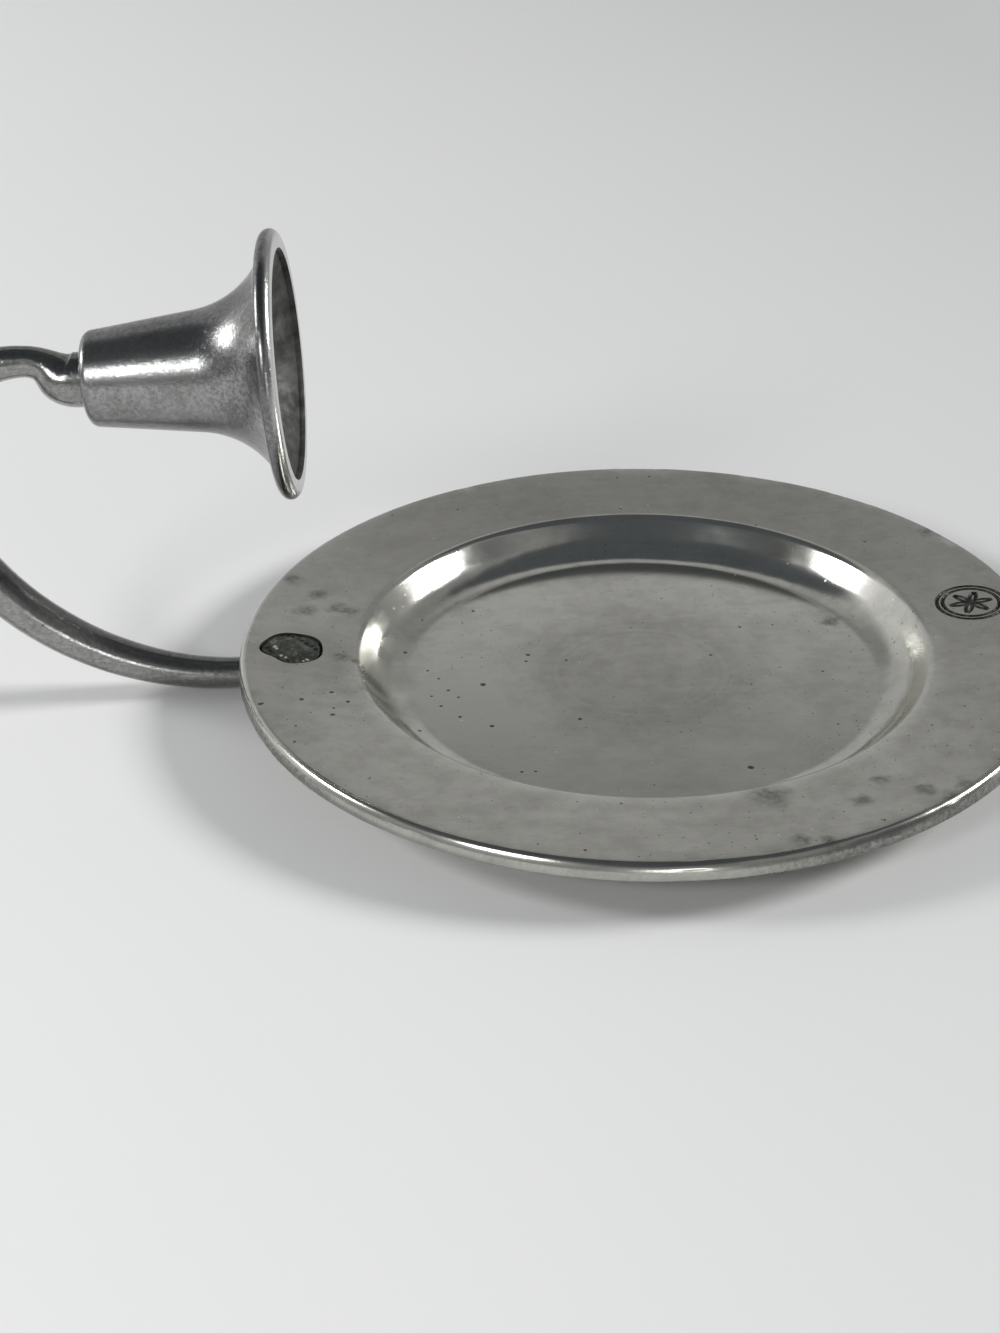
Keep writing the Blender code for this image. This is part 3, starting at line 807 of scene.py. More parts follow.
def grainy_pewter(name, finish, piece_frame, turning):
    """Pewter gone grainy with age: clouds, smudges, a coarse grain, dark specks and pits; turned, also
    painted shade underneath and a polished lip with painted sheen.
    """
    material, tree, place = new_finish(name, piece_frame)
    cloudy = patches(tree, place, 0.07, 0.36, 0.66, 5.0, 0.62, 0.6)
    mottled = patches(tree, place, 0.75, 0.38, 0.62, 4.0, 0.7)
    grain = clouds(tree, place, 1.2, 3.0, 0.7)
    specks = patches(tree, place, 1.1, 0.58, 0.68, 3.0, 0.8)
    pits = pinholes(tree, place, 1.0 / 2.8, 0.40, 0.30)

    dulled = scaled_sum(tree, (cloudy, 0.45), (mottled, 0.55))
    tone = blend(tree, dulled, finish.metal, finish.tarnish)
    tone = blend(tree, hairlines(tree, place), tone, SCRATCH, 0.15)
    tone = blend(tree, specks, tone, SPECK, 0.55)
    tone = blend(tree, pits, tone, PIT, 0.92)
    rough = scaled_sum(tree, (dulled, 0.08), base=finish.roughness)
    height = scaled_sum(tree, (grain, 1.1), (mottled, 0.2), (specks, -0.4), (pits, -1.0))
    if turning:
        down, _, along = axes(tree, place)
        height = scaled_sum(tree, (lathe_lines(tree, along, 1.1), 0.25), base=height)
        flare = times(tree, ramp(tree, along, *FLARE_SMUDGE), ramp(tree, dulled, 0.1, 0.7, 0.35, 1.0))
        # Painted shade on the cup's underside
        shaded_below = ramp(tree, down, *UNDERSIDE_SHADE, 0.0, 0.55)
        tone = blend(tree, larger(tree, times(tree, flare, 0.5), shaded_below), tone, SMUDGE_AND_SHADE)
        # A lighter band on the lip: polish, and a painted sheen for the light that it reflects
        tone = blend(tree, ramp(tree, along, *LIP_POLISH_AND_SHEEN, 0.0, 0.95), tone, POLISH_AND_SHEEN)
    return finished(material, tone, rough, height, 0.08 * MM, 0.5)


def sooty_pewter(cup, piece_frame):
    """The cup's inside, darkened by smoke and wax, with streaks that run toward the mouth."""
    material, tree, place = new_finish("cup_inside", piece_frame)
    outward = vectors(tree, "NORMALIZE", flattened(tree, place))
    streaks = patches(tree, outward, 3.5, 0.36, 0.66, 4.0, 0.6)
    smoky = patches(tree, place, 0.25, 0.35, 0.68, 4.0, 0.6)
    cleaner = scaled_sum(tree, (streaks, 0.2), (smoky, 0.25))
    tone = blend(tree, cleaner, cup.soot, cup.tarnish)
    rough = ramp(tree, cleaner, 0.0, 1.0, 0.58, 0.42)
    height = scaled_sum(tree, (streaks, 0.5), (smoky, 0.5))
    return finished(material, tone, rough, height, 0.1 * MM, 0.5)


def dull_places(tree, place, around, x, y):
    """How dull the plate's face is: clouds, wiping, a ringed middle, a handled rim, and less dull on the
    left of the floor.
    """
    broad = patches(tree, place, 0.030, 0.36, 0.66, 4.0, 0.6, 0.8)
    along = stretched(tree, place, (0.035, 0.15, 1.0), 0.05)
    wiped = patches(tree, along, 1.0, 0.38, 0.68, 4.0, 0.62, 0.5)
    patchy = patches(tree, place, 0.16, 0.40, 0.62, 4.0, 0.65)
    uneven = scaled_sum(tree, (clouds(tree, place, 0.07), 24.0), base=around)
    middle = ramp(tree, uneven, 58.0, 42.0)
    rings = times(tree, ramp(tree, lathe_lines(tree, around, 0.16), 0.42, 0.62), middle)
    handled = larger(tree, ramp(tree, x, -100.0, -60.0), ramp(tree, y, 20.0, -10.0))
    rim = times(tree, ramp(tree, around, 85.0, 92.0), handled)
    left = times(tree, ramp(tree, x, -12.0, -48.0), ramp(tree, around, 74.0, 62.0))
    return scaled_sum(
        tree, (broad, 0.22), (wiped, 0.14), (patchy, 0.20), (middle, 0.28), (rings, 0.14),
        (rim, 0.34), (left, -0.26),
    )


def upright_side(tree, plate, around, z):
    """1 on the upright side of the plate's edge, and 0 on its face."""
    top = rim_height(plate, plate.radius) / MM
    reach = plate.radius / MM
    out = ramp(tree, around, reach - 3.5, reach - 2.5)
    return times(tree, out, ramp(tree, z, top - 1.3, top - 2.0))


def edge_darkening(tree, place, side, x):
    """Darker, rougher patches on the edge's side, more of them toward the arm and the hanger."""
    ends = larger(tree, ramp(tree, x, 5.0, 55.0), ramp(tree, x, -80.0, -102.0))
    dirt = ramp(tree, clouds(tree, place, 0.9, 4.0, 0.7), 0.30, 0.66, 0.45, 1.0)
    return times(tree, times(tree, side, dirt), ramp(tree, ends, 0.0, 1.0, 0.3, 0.9))


def face_pits(tree, place, side):
    """Dark pits on the plate's face: scattered ones, crowds of fine ones and single deep ones."""
    crowded = patches(tree, place, 0.022, 0.36, 0.58, 2.0)
    pits = pinholes(tree, place, 1.0 / 11.0, 0.62, 0.24, flat=True)
    fine = times(tree, pinholes(tree, place, 1.0 / 3.0, 0.32, 0.42, flat=True), crowded)
    deep = spots(tree, place, PLATE_PITS, 0.5, 0.8)
    face = maths(tree, "SUBTRACT", 1.0, side)
    return times(tree, larger(tree, larger(tree, pits, fine), deep), face)


def plate_pewter(plate):
    """The plate's turned pewter: dull places, a waxy film, scratches, stains, painted shade on the well's
    lower left, darker patches on the edge, pits and dust.
    """
    material, tree, place = new_finish("plate_pewter", Matrix())
    around = distance_from_axis(tree, place)
    x, y, z = axes(tree, place)
    dulled = dull_places(tree, place, around, x, y)
    waxy = spots(tree, place, PLATE_WAX, 0.8, 9.0)
    scratches = hairlines(tree, place)
    broken = ramp(tree, clouds(tree, place, 0.5, 4.0, 0.65), 0.30, 0.62, 0.35, 1.0)
    stained = times(tree, spots(tree, place, PLATE_STAINS, 0.9, 7.0), broken)
    # Painted shade: a dark band along the well's lower left wall, standing in for its dark reflection
    painted_shade = spots(tree, place, PLATE_PAINTED_SHADE, 0.8, 5.0)
    side = upright_side(tree, plate, around, z)
    darker_edge = edge_darkening(tree, place, side, x)
    pits = face_pits(tree, place, side)
    dust = pinholes(tree, place, 1.0 / 9.0, 0.40, 0.30, flat=True)

    tone = blend(tree, dulled, plate.metal, plate.tarnish)
    for mask, over, weight in (
        (waxy, plate.tarnish, 0.45), (scratches, SCRATCH, 0.12), (stained, plate.soil_and_shade, 0.74),
        (painted_shade, plate.soil_and_shade, 0.62), (darker_edge, plate.soil_and_shade, 1.0), (pits, OXIDE_AND_SHADE, 0.85), (dust, DUST, 0.5),
    ):
        tone = blend(tree, mask, tone, over, weight)
    rough = scaled_sum(
        tree, (dulled, 0.08), (waxy, 0.20), (stained, 0.10), (darker_edge, 0.22), (dust, 0.30),
        base=plate.roughness,
    )
    height = scaled_sum(
        tree, (clouds(tree, place, 2.4, 2.0, 0.6), 0.03), (lathe_lines(tree, around, 1.1), 0.12),
        (scratches, -0.05), (pits, -0.8), (darker_edge, 0.25),
    )
    return finished(material, tone, rough, height, 0.08 * MM, 0.35)


def oxide_and_seat_shade(mark):
    """Dark oxide that fills the struck lines, and painted shade in the rivet's seat."""
    material, tree, place = new_finish("oxide_and_seat_shade", Matrix(), metallic=0.4)
    patchy = patches(tree, place, 0.9, 0.35, 0.75, 4.0)
    lighter = [channel * 3.2 for channel in mark.metal]
    tone = blend(tree, patchy, mark.metal, lighter)
    rough = ramp(tree, patchy, 0.0, 1.0, 0.75, 0.45)
    return finished(material, tone, rough, patchy, 0.1 * MM, 0.5)


def dark_rivet_metal(rivet, piece_frame):
    """Oxidised metal, rubbed brighter on its high places, cracked with painted shade, darker toward its
    edge by oxide and painted shade, and with painted highlights.
    """
    material, tree, place = new_finish("rivet_dark_metal", piece_frame)
    high = patches(tree, place, 0.30, 0.40, 0.68, 4.0, 0.6, 1.2)
    crust = clouds(tree, place, 1.7, 4.0, 0.7)
    rubbed = times(tree, high, ramp(tree, crust, 0.35, 0.6))
    reach = rivet.head_radius / MM
    # Darker toward the head's edge: oxide, and painted shade where the head meets its seat
    edge = ramp(tree, distance_from_axis(tree, place), reach * 0.72, reach)
    # Cracks with painted shade in them, and a painted shadow in the gap beside the head
    cracked_and_shaded = spots(tree, place, RIVET_CRACKS_AND_SHADE, 0.7, 2.2)
    tone = blend(tree, rubbed, rivet.metal, rivet.worn)
    tone = blend(tree, edge, tone, OXIDE_AND_SHADE, 0.4)
    tone = blend(tree, cracked_and_shaded, tone, CRACK_AND_SHADE, 0.9)
    # Painted highlights: bright spots where the head catches the lamps
    tone = blend(tree, spots(tree, place, RIVET_PAINTED_HIGHLIGHTS, 0.6, 1.5), tone, PAINTED_HIGHLIGHT)
    rough = ramp(tree, rubbed, 0.0, 1.0, 0.50, 0.30)
    height = scaled_sum(tree, (crust, 0.6), (cracked_and_shaded, -1.0))
    return finished(material, tone, rough, height, 0.3 * MM, 0.6)


def screw_steel(screw, piece_frame):
    """Plain steel with turning lines and a little rust."""
    material, tree, place = new_finish("screw_steel", piece_frame)
    rust = patches(tree, place, 0.5, 0.50, 0.72, 5.0, 0.65)
    lines = lathe_lines(tree, distance_from_axis(tree, place), 5.0)
    tone = blend(tree, rust, screw.metal, screw.tarnish)
    rough = scaled_sum(tree, (rust, 0.25), base=screw.roughness)
    return finished(material, tone, rough, maths(tree, "ADD", lines, rust), 0.06 * MM, 0.4)


def cast_pewter(hanger, piece_frame):
    """Pewter left as it came from the mould: grainy and dull."""
    material, tree, place = new_finish("lug_pewter", piece_frame)
    grain = clouds(tree, place, 2.0, 5.0, 0.7)
    dull = patches(tree, place, 0.4, 0.35, 0.70, 4.0)
    tone = blend(tree, dull, hanger.metal, hanger.tarnish)
    rough = ramp(tree, grain, 0.3, 0.7, 0.36, 0.55)
    return finished(material, tone, rough, grain, 0.15 * MM, 0.6)


def aged_brass(hanger, piece_frame):
    """Drawn brass wire, browned with age and bright where it rubs."""
    material, tree, place = new_finish("ring_brass_wire", piece_frame)
    brown = patches(tree, place, 0.35, 0.36, 0.66, 5.0, 0.65)
    drawn = lathe_lines(tree, axes(tree, place)[2], 6.0)
    tone = blend(tree, brown, hanger.brass, hanger.brown)
    rough = ramp(tree, brown, 0.0, 1.0, 0.26, 0.48)
    return finished(material, tone, rough, maths(tree, "ADD", drawn, brown), 0.04 * MM, 0.4)


def table_paint(stage):
    """The matt pale table with painted light, lighter on the left and darker to the right, and a faint
    cloudiness.
    """
    material, tree, place = new_finish("table_paint", Matrix(), metallic=0.0)
    shader = tree.nodes["Principled BSDF"]
    x, y, _ = axes(tree, place)
    across = ramp(tree, scaled_sum(tree, (y, 0.2), base=x), *TABLE_SHADING, smooth=False)
    tone = blend(tree, across, stage.table, stage.table_shaded_right)
    tone = blend(tree, clouds(tree, place, 0.006, 4.0), tone, TABLE_CLOUD, 0.05)
    tree.links.new(tone, shader.inputs["Base Color"])
    shader.inputs["Roughness"].default_value = 0.8
    shader.inputs["Specular IOR Level"].default_value = 0.05
    return material


# The pieces: their outlines, and an operator for each piece or pair of like pieces

def well_side(plate, lip, cove, depth, floor, wall_run):
    """Ogee from the rim down to a floor: a round lip at a depth under the rim, a wall and a cove."""
    slope = rim_slope(plate)
    lip_centre = (
        plate.well_radius + (lip + depth) * sin(slope),
        rim_height(plate, plate.well_radius) - (lip + depth) * cos(slope),
    )
    cove_centre = (plate.well_radius - wall_run, floor + cove)
    across = lip_centre[0] - cove_centre[0]
    fall = lip_centre[1] - cove_centre[1]
    turn = atan2(fall, across) + asin((lip + cove) / hypot(across, fall)) + pi / 2
    upper = arc(lip_centre, lip, pi / 2 + slope, turn)
    lower = arc(cove_centre, cove, turn - pi, -pi / 2, 2 * ARC_STEPS)
    return upper + run(upper[-1], lower[0], SIDE_STEPS) + lower


def wall_share(plate, co):
    """How much of the well's wall a point belongs to: all of it halfway up, nothing at its ends."""
    across = (plate.well_radius - hypot(co.x, co.y)) / plate.wall_run
    return sin(pi * across) if 0.0 < across < 1.0 else 0.0


def plate_profile(plate):
    """The plate's half section: its face from the middle, its edge, and its back to the middle."""
    slope = rim_slope(plate)
    floor = plate.floor
    under = plate.sheet / cos(slope)
    face = well_side(plate, plate.lip_radius, plate.cove_radius, 0.0, floor, plate.wall_run)
    face.reverse()
    back = well_side(plate, plate.back_lip, plate.back_cove, plate.sheet, 0.0, plate.back_run)
    inner = plate.radius - plate.edge_width
    low = edge_low(plate)
    spread = plate.edge_side - plate.edge_round
    shoulder = plate.radius - plate.edge_side + spread * cos(plate.edge_turn)
    corner = (shoulder, rim_height(plate, shoulder) - plate.edge_round / cos(slope))
    flank = (plate.radius - plate.edge_side, corner[1] - spread * sin(plate.edge_turn))
    top = arc(corner, plate.edge_round, pi / 2 + slope, plate.edge_turn)
    top += arc(flank, plate.edge_side, plate.edge_turn, 0.0)[1:]
    foot = arc((plate.radius - plate.edge_low_round, low + plate.edge_low_round),
               plate.edge_low_round, 0.0, -pi / 2)
    hollow = (inner, rim_height(plate, inner) - under)
    points = [(0.0, floor)]
    points += run(points[0], face[0], FLOOR_STEPS) + face
    points += run(face[-1], top[0], RIM_STEPS) + top
    points += run(top[-1], foot[0], SIDE_STEPS) + foot
    points += [(inner, low), hollow]
    points += run(hollow, back[0], BACK_STEPS) + back
    points += run(back[-1], (0.0, 0.0), BACK_STEPS) + [(0.0, 0.0)]
    return points


def nicked(plate, co):
    """Whether a point lies on the edge, in a stretch that took knocks."""
    on_edge = hypot(co.x, co.y) > plate.radius - 2 * plate.edge_round
    return on_edge and noise.noise(co / NICK_PATCH) > NICK_FROM


class SCONCE_OT_wall_plate(Operator):
    """Turn the dished plate, cut the rivet's seat and strike the rosette into its rim"""
    bl_idname = "sconce.wall_plate"
    bl_label = "Wall Plate"

    def execute(self, context):
        sconce = context.scene.sconce
        plate = sconce.plate
        shape = turned(plate_profile(plate), PLATE_STEPS)
        pressed_in(shape, plate.unevenness, PLATE_WAVE, lambda co: co.z > plate.sheet / 2)
        pressed_in(shape, plate.wall_waves, WALL_WAVE, lambda co: wall_share(plate, co))
        pressed_in(shape, plate.nick_depth, NICK, lambda co: nicked(plate, co))
        finishes = (plate_pewter(plate), oxide_and_seat_shade(sconce.mark))
        piece = new_object("wall_plate_turned", shape, finishes)
        self.cut_rivet_seat(piece, sconce)
        self.strike_rosette(piece, sconce)
        seat(piece, "wall_plate", "sconce")
        return {"FINISHED"}

    def cut_rivet_seat(self, piece, sconce):
        """A shallow round seat for the rivet's head and the hole for its shank."""
        rivet = sconce.rivet
        past = 2 * sconce.plate.sheet
        hole = rivet.shank_radius + GAP
        head = rivet.head_radius + GAP
        shape = turned(
            [(0.0, past), (head, past), (head, -rivet.recess), (hole, -rivet.recess), (hole, -past),
             (0.0, -past)], HEAD_STEPS,
        )
        for point in shape.verts:
            if point.co.xy.length > head - GAP:
                point.co.xy = hammered_out(rivet, point.co, 1.0, 1.5 * GAP)
        bmesh.ops.transform(shape, matrix=rivet_frame(sconce), verts=shape.verts)
        # The seat's faces take the dark finish: painted shade in the gap round the rivet's head
        combine(piece, shape, slot=1)

    def strike_rosette(self, piece, sconce):
        """A six-petalled compass rosette in two rings."""
        mark = sconce.mark
        ring = bmesh.new()
        for radius in (mark.ring_radius, mark.inner_radius):
            bent_tube(ring, Vector(), radius, mark.line, 0.0, 2 * pi, STRUCK_RING_STEPS, STRUCK_SIDES)
        close_up(ring)
        die = new_object("die", ring)
        for petal in range(PETALS):
            around = petal * 2 * pi / PETALS
            centre = mark.petal_radius * Vector((cos(around), sin(around), 0.0))
            line = bmesh.new()
            bent_tube(
                line, centre, mark.petal_radius, mark.line, around + 2 * pi / 3, 2 * pi / 3,
                PETAL_STEPS, STRUCK_SIDES,
            )
            close_up(line)
            combine(die, line, "UNION")
        shape = bmesh.new()
        shape.from_mesh(die.data)
        bpy.data.objects.remove(die)
        where = rim_frame(sconce.plate, mark.from_centre, mark.azimuth)
        bmesh.ops.transform(shape, matrix=where, verts=shape.verts)
        combine(piece, shape, slot=1)


def arm_tail(sconce):
    """The rod's rounded end and its straight run under the rim, as (point, direction, radius)."""
    arm = sconce.arm
    height = arm_height(sconce)
    ahead = Vector((-1.0, 0.0, 0.0))
    tail = -(sconce.rivet.from_centre - arm.tail)
    path = []
    for i in range(NOSE_STEPS + 1):
        turn = i / NOSE_STEPS * pi / 2
        place = Vector((tail - arm.nose_length * (1 - cos(turn)), 0.0, height))
        path.append((place, ahead, arm.nose_radius + (arm.end_radius - arm.nose_radius) * sin(turn)))
    start = arm_start(sconce)
    for i in range(1, TAIL_STEPS):
        x = tail - arm.nose_length + (start - tail + arm.nose_length) * i / TAIL_STEPS
        path.append((Vector((x, 0.0, height)), ahead, arm.end_radius))
    return path


def arm_turns(sconce):
    """The wide sweep that swells to the belly, and the tight curl that thins to the neck."""
    arm = sconce.arm
    sweep_centre = Vector((arm_start(sconce), 0.0, arm_height(sconce) + arm.sweep_radius))
    curl_centre = arm_neck(sconce) - Vector((0.0, 0.0, arm.curl_radius))
    arcs = (
        (sweep_centre, arm.sweep_radius, 0.0, arm.sweep_angle),
        (curl_centre, arm.curl_radius, arm.sweep_angle, pi),
    )
    path = []
    for centre, radius, low, high in arcs:
        wide = low == 0.0
        thin = arm.end_radius if wide else arm.neck_radius
        for i in range(0 if wide else 1, ARM_ARC_STEPS + 1):
            part = i / ARM_ARC_STEPS
            turn = low + (high - low) * part
            swell = sin(part * pi / 2) if wide else cos(part * pi / 2)
            path.append((
                centre - radius * Vector((sin(turn), 0.0, cos(turn))),
                Vector((-cos(turn), 0.0, sin(turn))),
                thin + (arm.belly_radius - thin) * swell,
            ))
    return path


def arm_drop(sconce):
    """The fall from the neck to the cup, on a Bezier curve that swells into the pad."""
    arm = sconce.arm
    neck = arm_neck(sconce)
    axis = cup_axis(sconce)
    tip = arm_tip(sconce)
    pad = tip - axis * arm.pad_thickness
    pull = arm.drop_run / 2
    handles = (neck, neck + Vector((pull, 0.0, 0.0)), pad - axis * pull, pad)
    path = []
    for i in range(1, DROP_STEPS + 1):
        t = i / DROP_STEPS
        weights = ((1 - t) ** 3, 3 * t * (1 - t) ** 2, 3 * t * t * (1 - t), t ** 3)
        slopes = (-3 * (1 - t) ** 2, 3 * (1 - t) ** 2 - 6 * t * (1 - t),
                  6 * t * (1 - t) - 3 * t * t, 3 * t * t)
        point = sum((h * w for h, w in zip(handles, weights)), Vector())
        direction = sum((h * w for h, w in zip(handles, slopes)), Vector()).normalized()
        swell = t ** 3 * (10 - 15 * t + 6 * t * t)
        path.append((point, direction, arm.neck_radius + (arm.pad_radius - arm.neck_radius) * swell))
    path.append((tip, axis, arm.pad_radius))
    return path


def arm_path(sconce):
    """The rod's middle line from under the rim to the cup."""
    return arm_tail(sconce) + arm_turns(sconce) + arm_drop(sconce)


class SCONCE_OT_arm(Operator):
    """Sweep the C-shaped rod, with its boss under the rim and its bores"""
    bl_idname = "sconce.arm"
    bl_label = "Arm"

    def execute(self, context):
        sconce = context.scene.sconce
        arm = sconce.arm
        rivet = sconce.rivet
        screw = sconce.screw
        shape = swept(arm_path(sconce), ARM_SIDES)
        pressed_in(shape, arm.unevenness, ARM_WAVE)
        finish = grainy_pewter("arm_pewter", arm, Matrix(), False)
        piece = new_object("arm_rod", shape, (finish,))
        where = rivet_frame(sconce)
        low = arm_height(sconce) - where.translation.z
        combine(piece, pin(arm.boss_radius, low, -sconce.plate.sheet - GAP, where), "UNION")
        bore_low = low - arm.end_radius / 2
        combine(piece, pin(rivet.shank_radius + GAP, bore_low, 0.0, where))
        combine(piece, pin(screw.radius + GAP, -screw.depth - GAP, GAP * 2, cup_frame(sconce)))
        seat(piece, "arm", "sconce")
        return {"FINISHED"}


def cup_profile(sconce):
    """The cup's closed half section: floor, inside, lip, outside and foot."""
    cup = sconce.cup
    taper = atan2(cup.barrel_radius - cup.base_radius, cup.barrel_length - cup.base_round)
    flare = (
        cup.barrel_radius + cup.flare_radius * cos(taper),
        cup.barrel_length - cup.flare_radius * sin(taper),
    )
    start = pi - taper
    end = pi - cup.flare_end
    middle = arc(flare, cup.flare_radius + cup.wall / 2, end, end, 1)[0]
    reach = middle[0] + cup.lip_reach * sin(cup.flare_end) + cup.wall / 2
    top = middle[1] + cup.lip_reach * cos(cup.flare_end) + cup.wall / 2
    bead = (reach - cup.lip_bead, top - cup.lip_bead)
    face_edge = bead[0] - cup.lip_face
    outer = [
        point for point in arc(flare, cup.flare_radius, end, start, 3 * ARC_STEPS)
        if hypot(point[0] - bead[0], point[1] - bead[1]) > cup.lip_bead
    ]
    behind = atan2(outer[0][1] - bead[1], outer[0][0] - bead[0])
    inner_end = acos((face_edge - LIP_CORNER - flare[0]) / (cup.flare_radius + cup.wall))
    inner = arc(flare, cup.flare_radius + cup.wall, start, inner_end, 3 * ARC_STEPS)
    lip = [(face_edge, top - LIP_CORNER / 2), (face_edge + LIP_CORNER / 2, top)]
    lip += run(lip[-1], (bead[0], top), LIP_STEPS)
    lip += arc(bead, cup.lip_bead, pi / 2, behind, 2 * ARC_STEPS)[:-1]
    foot = arc(
        (cup.base_radius - cup.base_round * cos(taper), cup.base_round),
        cup.base_round, -taper, -pi / 2,
    )
    bore = sconce.screw.radius + GAP
    floor_edge = (inner[0][0] - (inner[0][1] - cup.floor) * sin(taper) / cos(taper), cup.floor)
    points = [(bore, cup.floor), floor_edge]
    points += run(floor_edge, inner[0], SOCKET_STEPS) + inner + lip + outer
    points += run(outer[-1], foot[0], BARREL_STEPS) + foot
    points += [(bore, 0.0)]
    return points


class SCONCE_OT_candle_cup(Operator):
    """Turn the flared candle cup"""
    bl_idname = "sconce.candle_cup"
    bl_label = "Candle Cup"

    def execute(self, context):
        sconce = context.scene.sconce
        cup = sconce.cup
        shape = turned(cup_profile(sconce), CUP_STEPS, closed=True)
        pressed_in(shape, cup.unevenness, CUP_WAVE, lambda co: co.z > cup.floor * 1.5)
        for face in shape.faces:
            middle = face.calc_center_median()
            inward = -face.normal.xy.dot(middle.xy.normalized())
            face.material_index = 1 if inward > 0.2 and middle.z > cup.floor / 2 else 0
        where = cup_frame(sconce)
        bmesh.ops.transform(shape, matrix=where, verts=shape.verts)
        finishes = (grainy_pewter("cup_pewter", cup, where, True), sooty_pewter(cup, where))
        piece = new_object("candle_cup_turned", shape, finishes)
        seat(piece, "candle_cup", "sconce")
        return {"FINISHED"}


class SCONCE_OT_fasteners(Operator):
    """Turn the arm's rivet and the cup's slotted screw"""
    bl_idname = "sconce.fasteners"
    bl_label = "Rivet and Screw"

    def execute(self, context):
        sconce = context.scene.sconce
        self.rivet(sconce)
        self.screw(sconce)
        return {"FINISHED"}

    def rivet(self, sconce):
        """The domed head, hammered to one side, on its shank."""
        rivet = sconce.rivet
        where = rivet_frame(sconce)
        seat_height = GAP - rivet.recess
        brim = seat_height + rivet.head_height
        dome = (rivet.head_radius ** 2 + rivet.dome ** 2) / (2 * rivet.dome)
        spread = asin(rivet.head_radius / dome)
        crown = arc((0.0, brim + rivet.dome - dome), dome, pi / 2, pi / 2 - spread, 2 * ARC_STEPS)
        crown[0] = (0.0, brim + rivet.dome)
        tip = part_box("arm_rivet")[0].z - where.translation.z
        points = crown + [
            (rivet.head_radius, seat_height), (rivet.shank_radius, seat_height),
            (rivet.shank_radius, tip + GAP), (rivet.shank_radius - GAP, tip), (0.0, tip),
        ]
        shape = turned(points, HEAD_STEPS)
        for point in shape.verts:
            if point.co.z > seat_height - GAP / 2:
                part = min(1.0, point.co.xy.length / rivet.head_radius)
                point.co.xy = hammered_out(rivet, point.co, part)
        pressed_in(shape, rivet.hammering, HAMMER_DENT, lambda co: co.z > brim - GAP)
        bmesh.ops.transform(shape, matrix=where, verts=shape.verts)
        piece = new_object("arm_rivet_hammered", shape, (dark_rivet_metal(rivet, where),))
        seat(piece, "arm_rivet", "sconce")

    def screw(self, sconce):
        """The round-headed screw with its slot."""
        screw = sconce.screw
        where = cup_frame(sconce)
        low = sconce.cup.floor + GAP
        top = low + screw.head_height
        half = screw.head_height / 2
        points = [(0.0, top)]
        points += arc((screw.head_radius - half, top - half), half, pi / 2, 0.0)
        points += [
            (screw.head_radius, low), (screw.radius, low),
            (screw.radius, -screw.depth + GAP), (screw.radius - GAP, -screw.depth), (0.0, -screw.depth),
        ]
        shape = turned(points, PIN_STEPS)
        bmesh.ops.transform(shape, matrix=where, verts=shape.verts)
        piece = new_object("cup_screw_slotted", shape, (screw_steel(screw, where),))
        size = (3 * screw.head_radius, screw.slot_width, 2 * screw.slot_depth)
        combine(piece, block(size, where @ Matrix.Translation((0.0, 0.0, top))))
        seat(piece, "cup_screw", "sconce")


class SCONCE_OT_hanger(Operator):
    """Make the soldered lug and bend the wire ring that hangs in it"""
    bl_idname = "sconce.hanger"
    bl_label = "Hanger"

    def execute(self, context):
        sconce = context.scene.sconce
        self.lug(sconce)
        self.ring(sconce)
        return {"FINISHED"}

    def lug(self, sconce):
        """The soldered foot, the stem and the eye."""
        hanger = sconce.hanger
        where = lug_frame(sconce)
        eye = where @ Matrix.Translation((0.0, 0.0, -hanger.eye_drop)) @ Matrix.Rotation(pi / 2, 4, "X")
        half = hanger.lug_thickness / 2
        foot = block(
            (hanger.foot_width, hanger.lug_thickness, hanger.foot_height),
            where @ Matrix.Translation((0.0, 0.0, -hanger.foot_height / 2)),
        )
        piece = new_object("hanger_lug_cast", foot, (cast_pewter(hanger, where),))
        stem = block(
            (2 * hanger.eye_radius, hanger.lug_thickness, hanger.eye_drop - hanger.foot_height / 2),
            where @ Matrix.Translation((0.0, 0.0, -(hanger.eye_drop + hanger.foot_height / 2) / 2)),
        )
        combine(piece, stem, "UNION")
        combine(piece, pin(hanger.eye_radius, -half, half, eye), "UNION")
        combine(piece, pin(hanger.wire_radius + hanger.play, -2 * half, 2 * half, eye))
        seat(piece, "hanger_lug", "sconce")

    def ring(self, sconce):
        """The wire ring, drooped until its free side lies as low as its node's."""
        hanger = sconce.hanger
        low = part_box("hanger_ring")[0].z
        droop = asin((RING_PIVOT.z - low - hanger.wire_radius) / (2 * hanger.ring_radius))
        where = Matrix.Translation(RING_PIVOT) @ Matrix.Rotation(droop, 4, "Y")
        shape = bmesh.new()
        bent_tube(
            shape, Vector((hanger.ring_radius, 0.0, 0.0)), hanger.ring_radius, hanger.wire_radius,
            pi / 3, 2 * pi - RING_BUTT, RING_STEPS, RING_SIDES,
        )
        bmesh.ops.recalc_face_normals(shape, faces=shape.faces)
        bmesh.ops.transform(shape, matrix=where, verts=shape.verts)
        piece = new_object("hanger_ring_wire", shape, (aged_brass(hanger, where),))
        seat(piece, "hanger_ring", "ring")


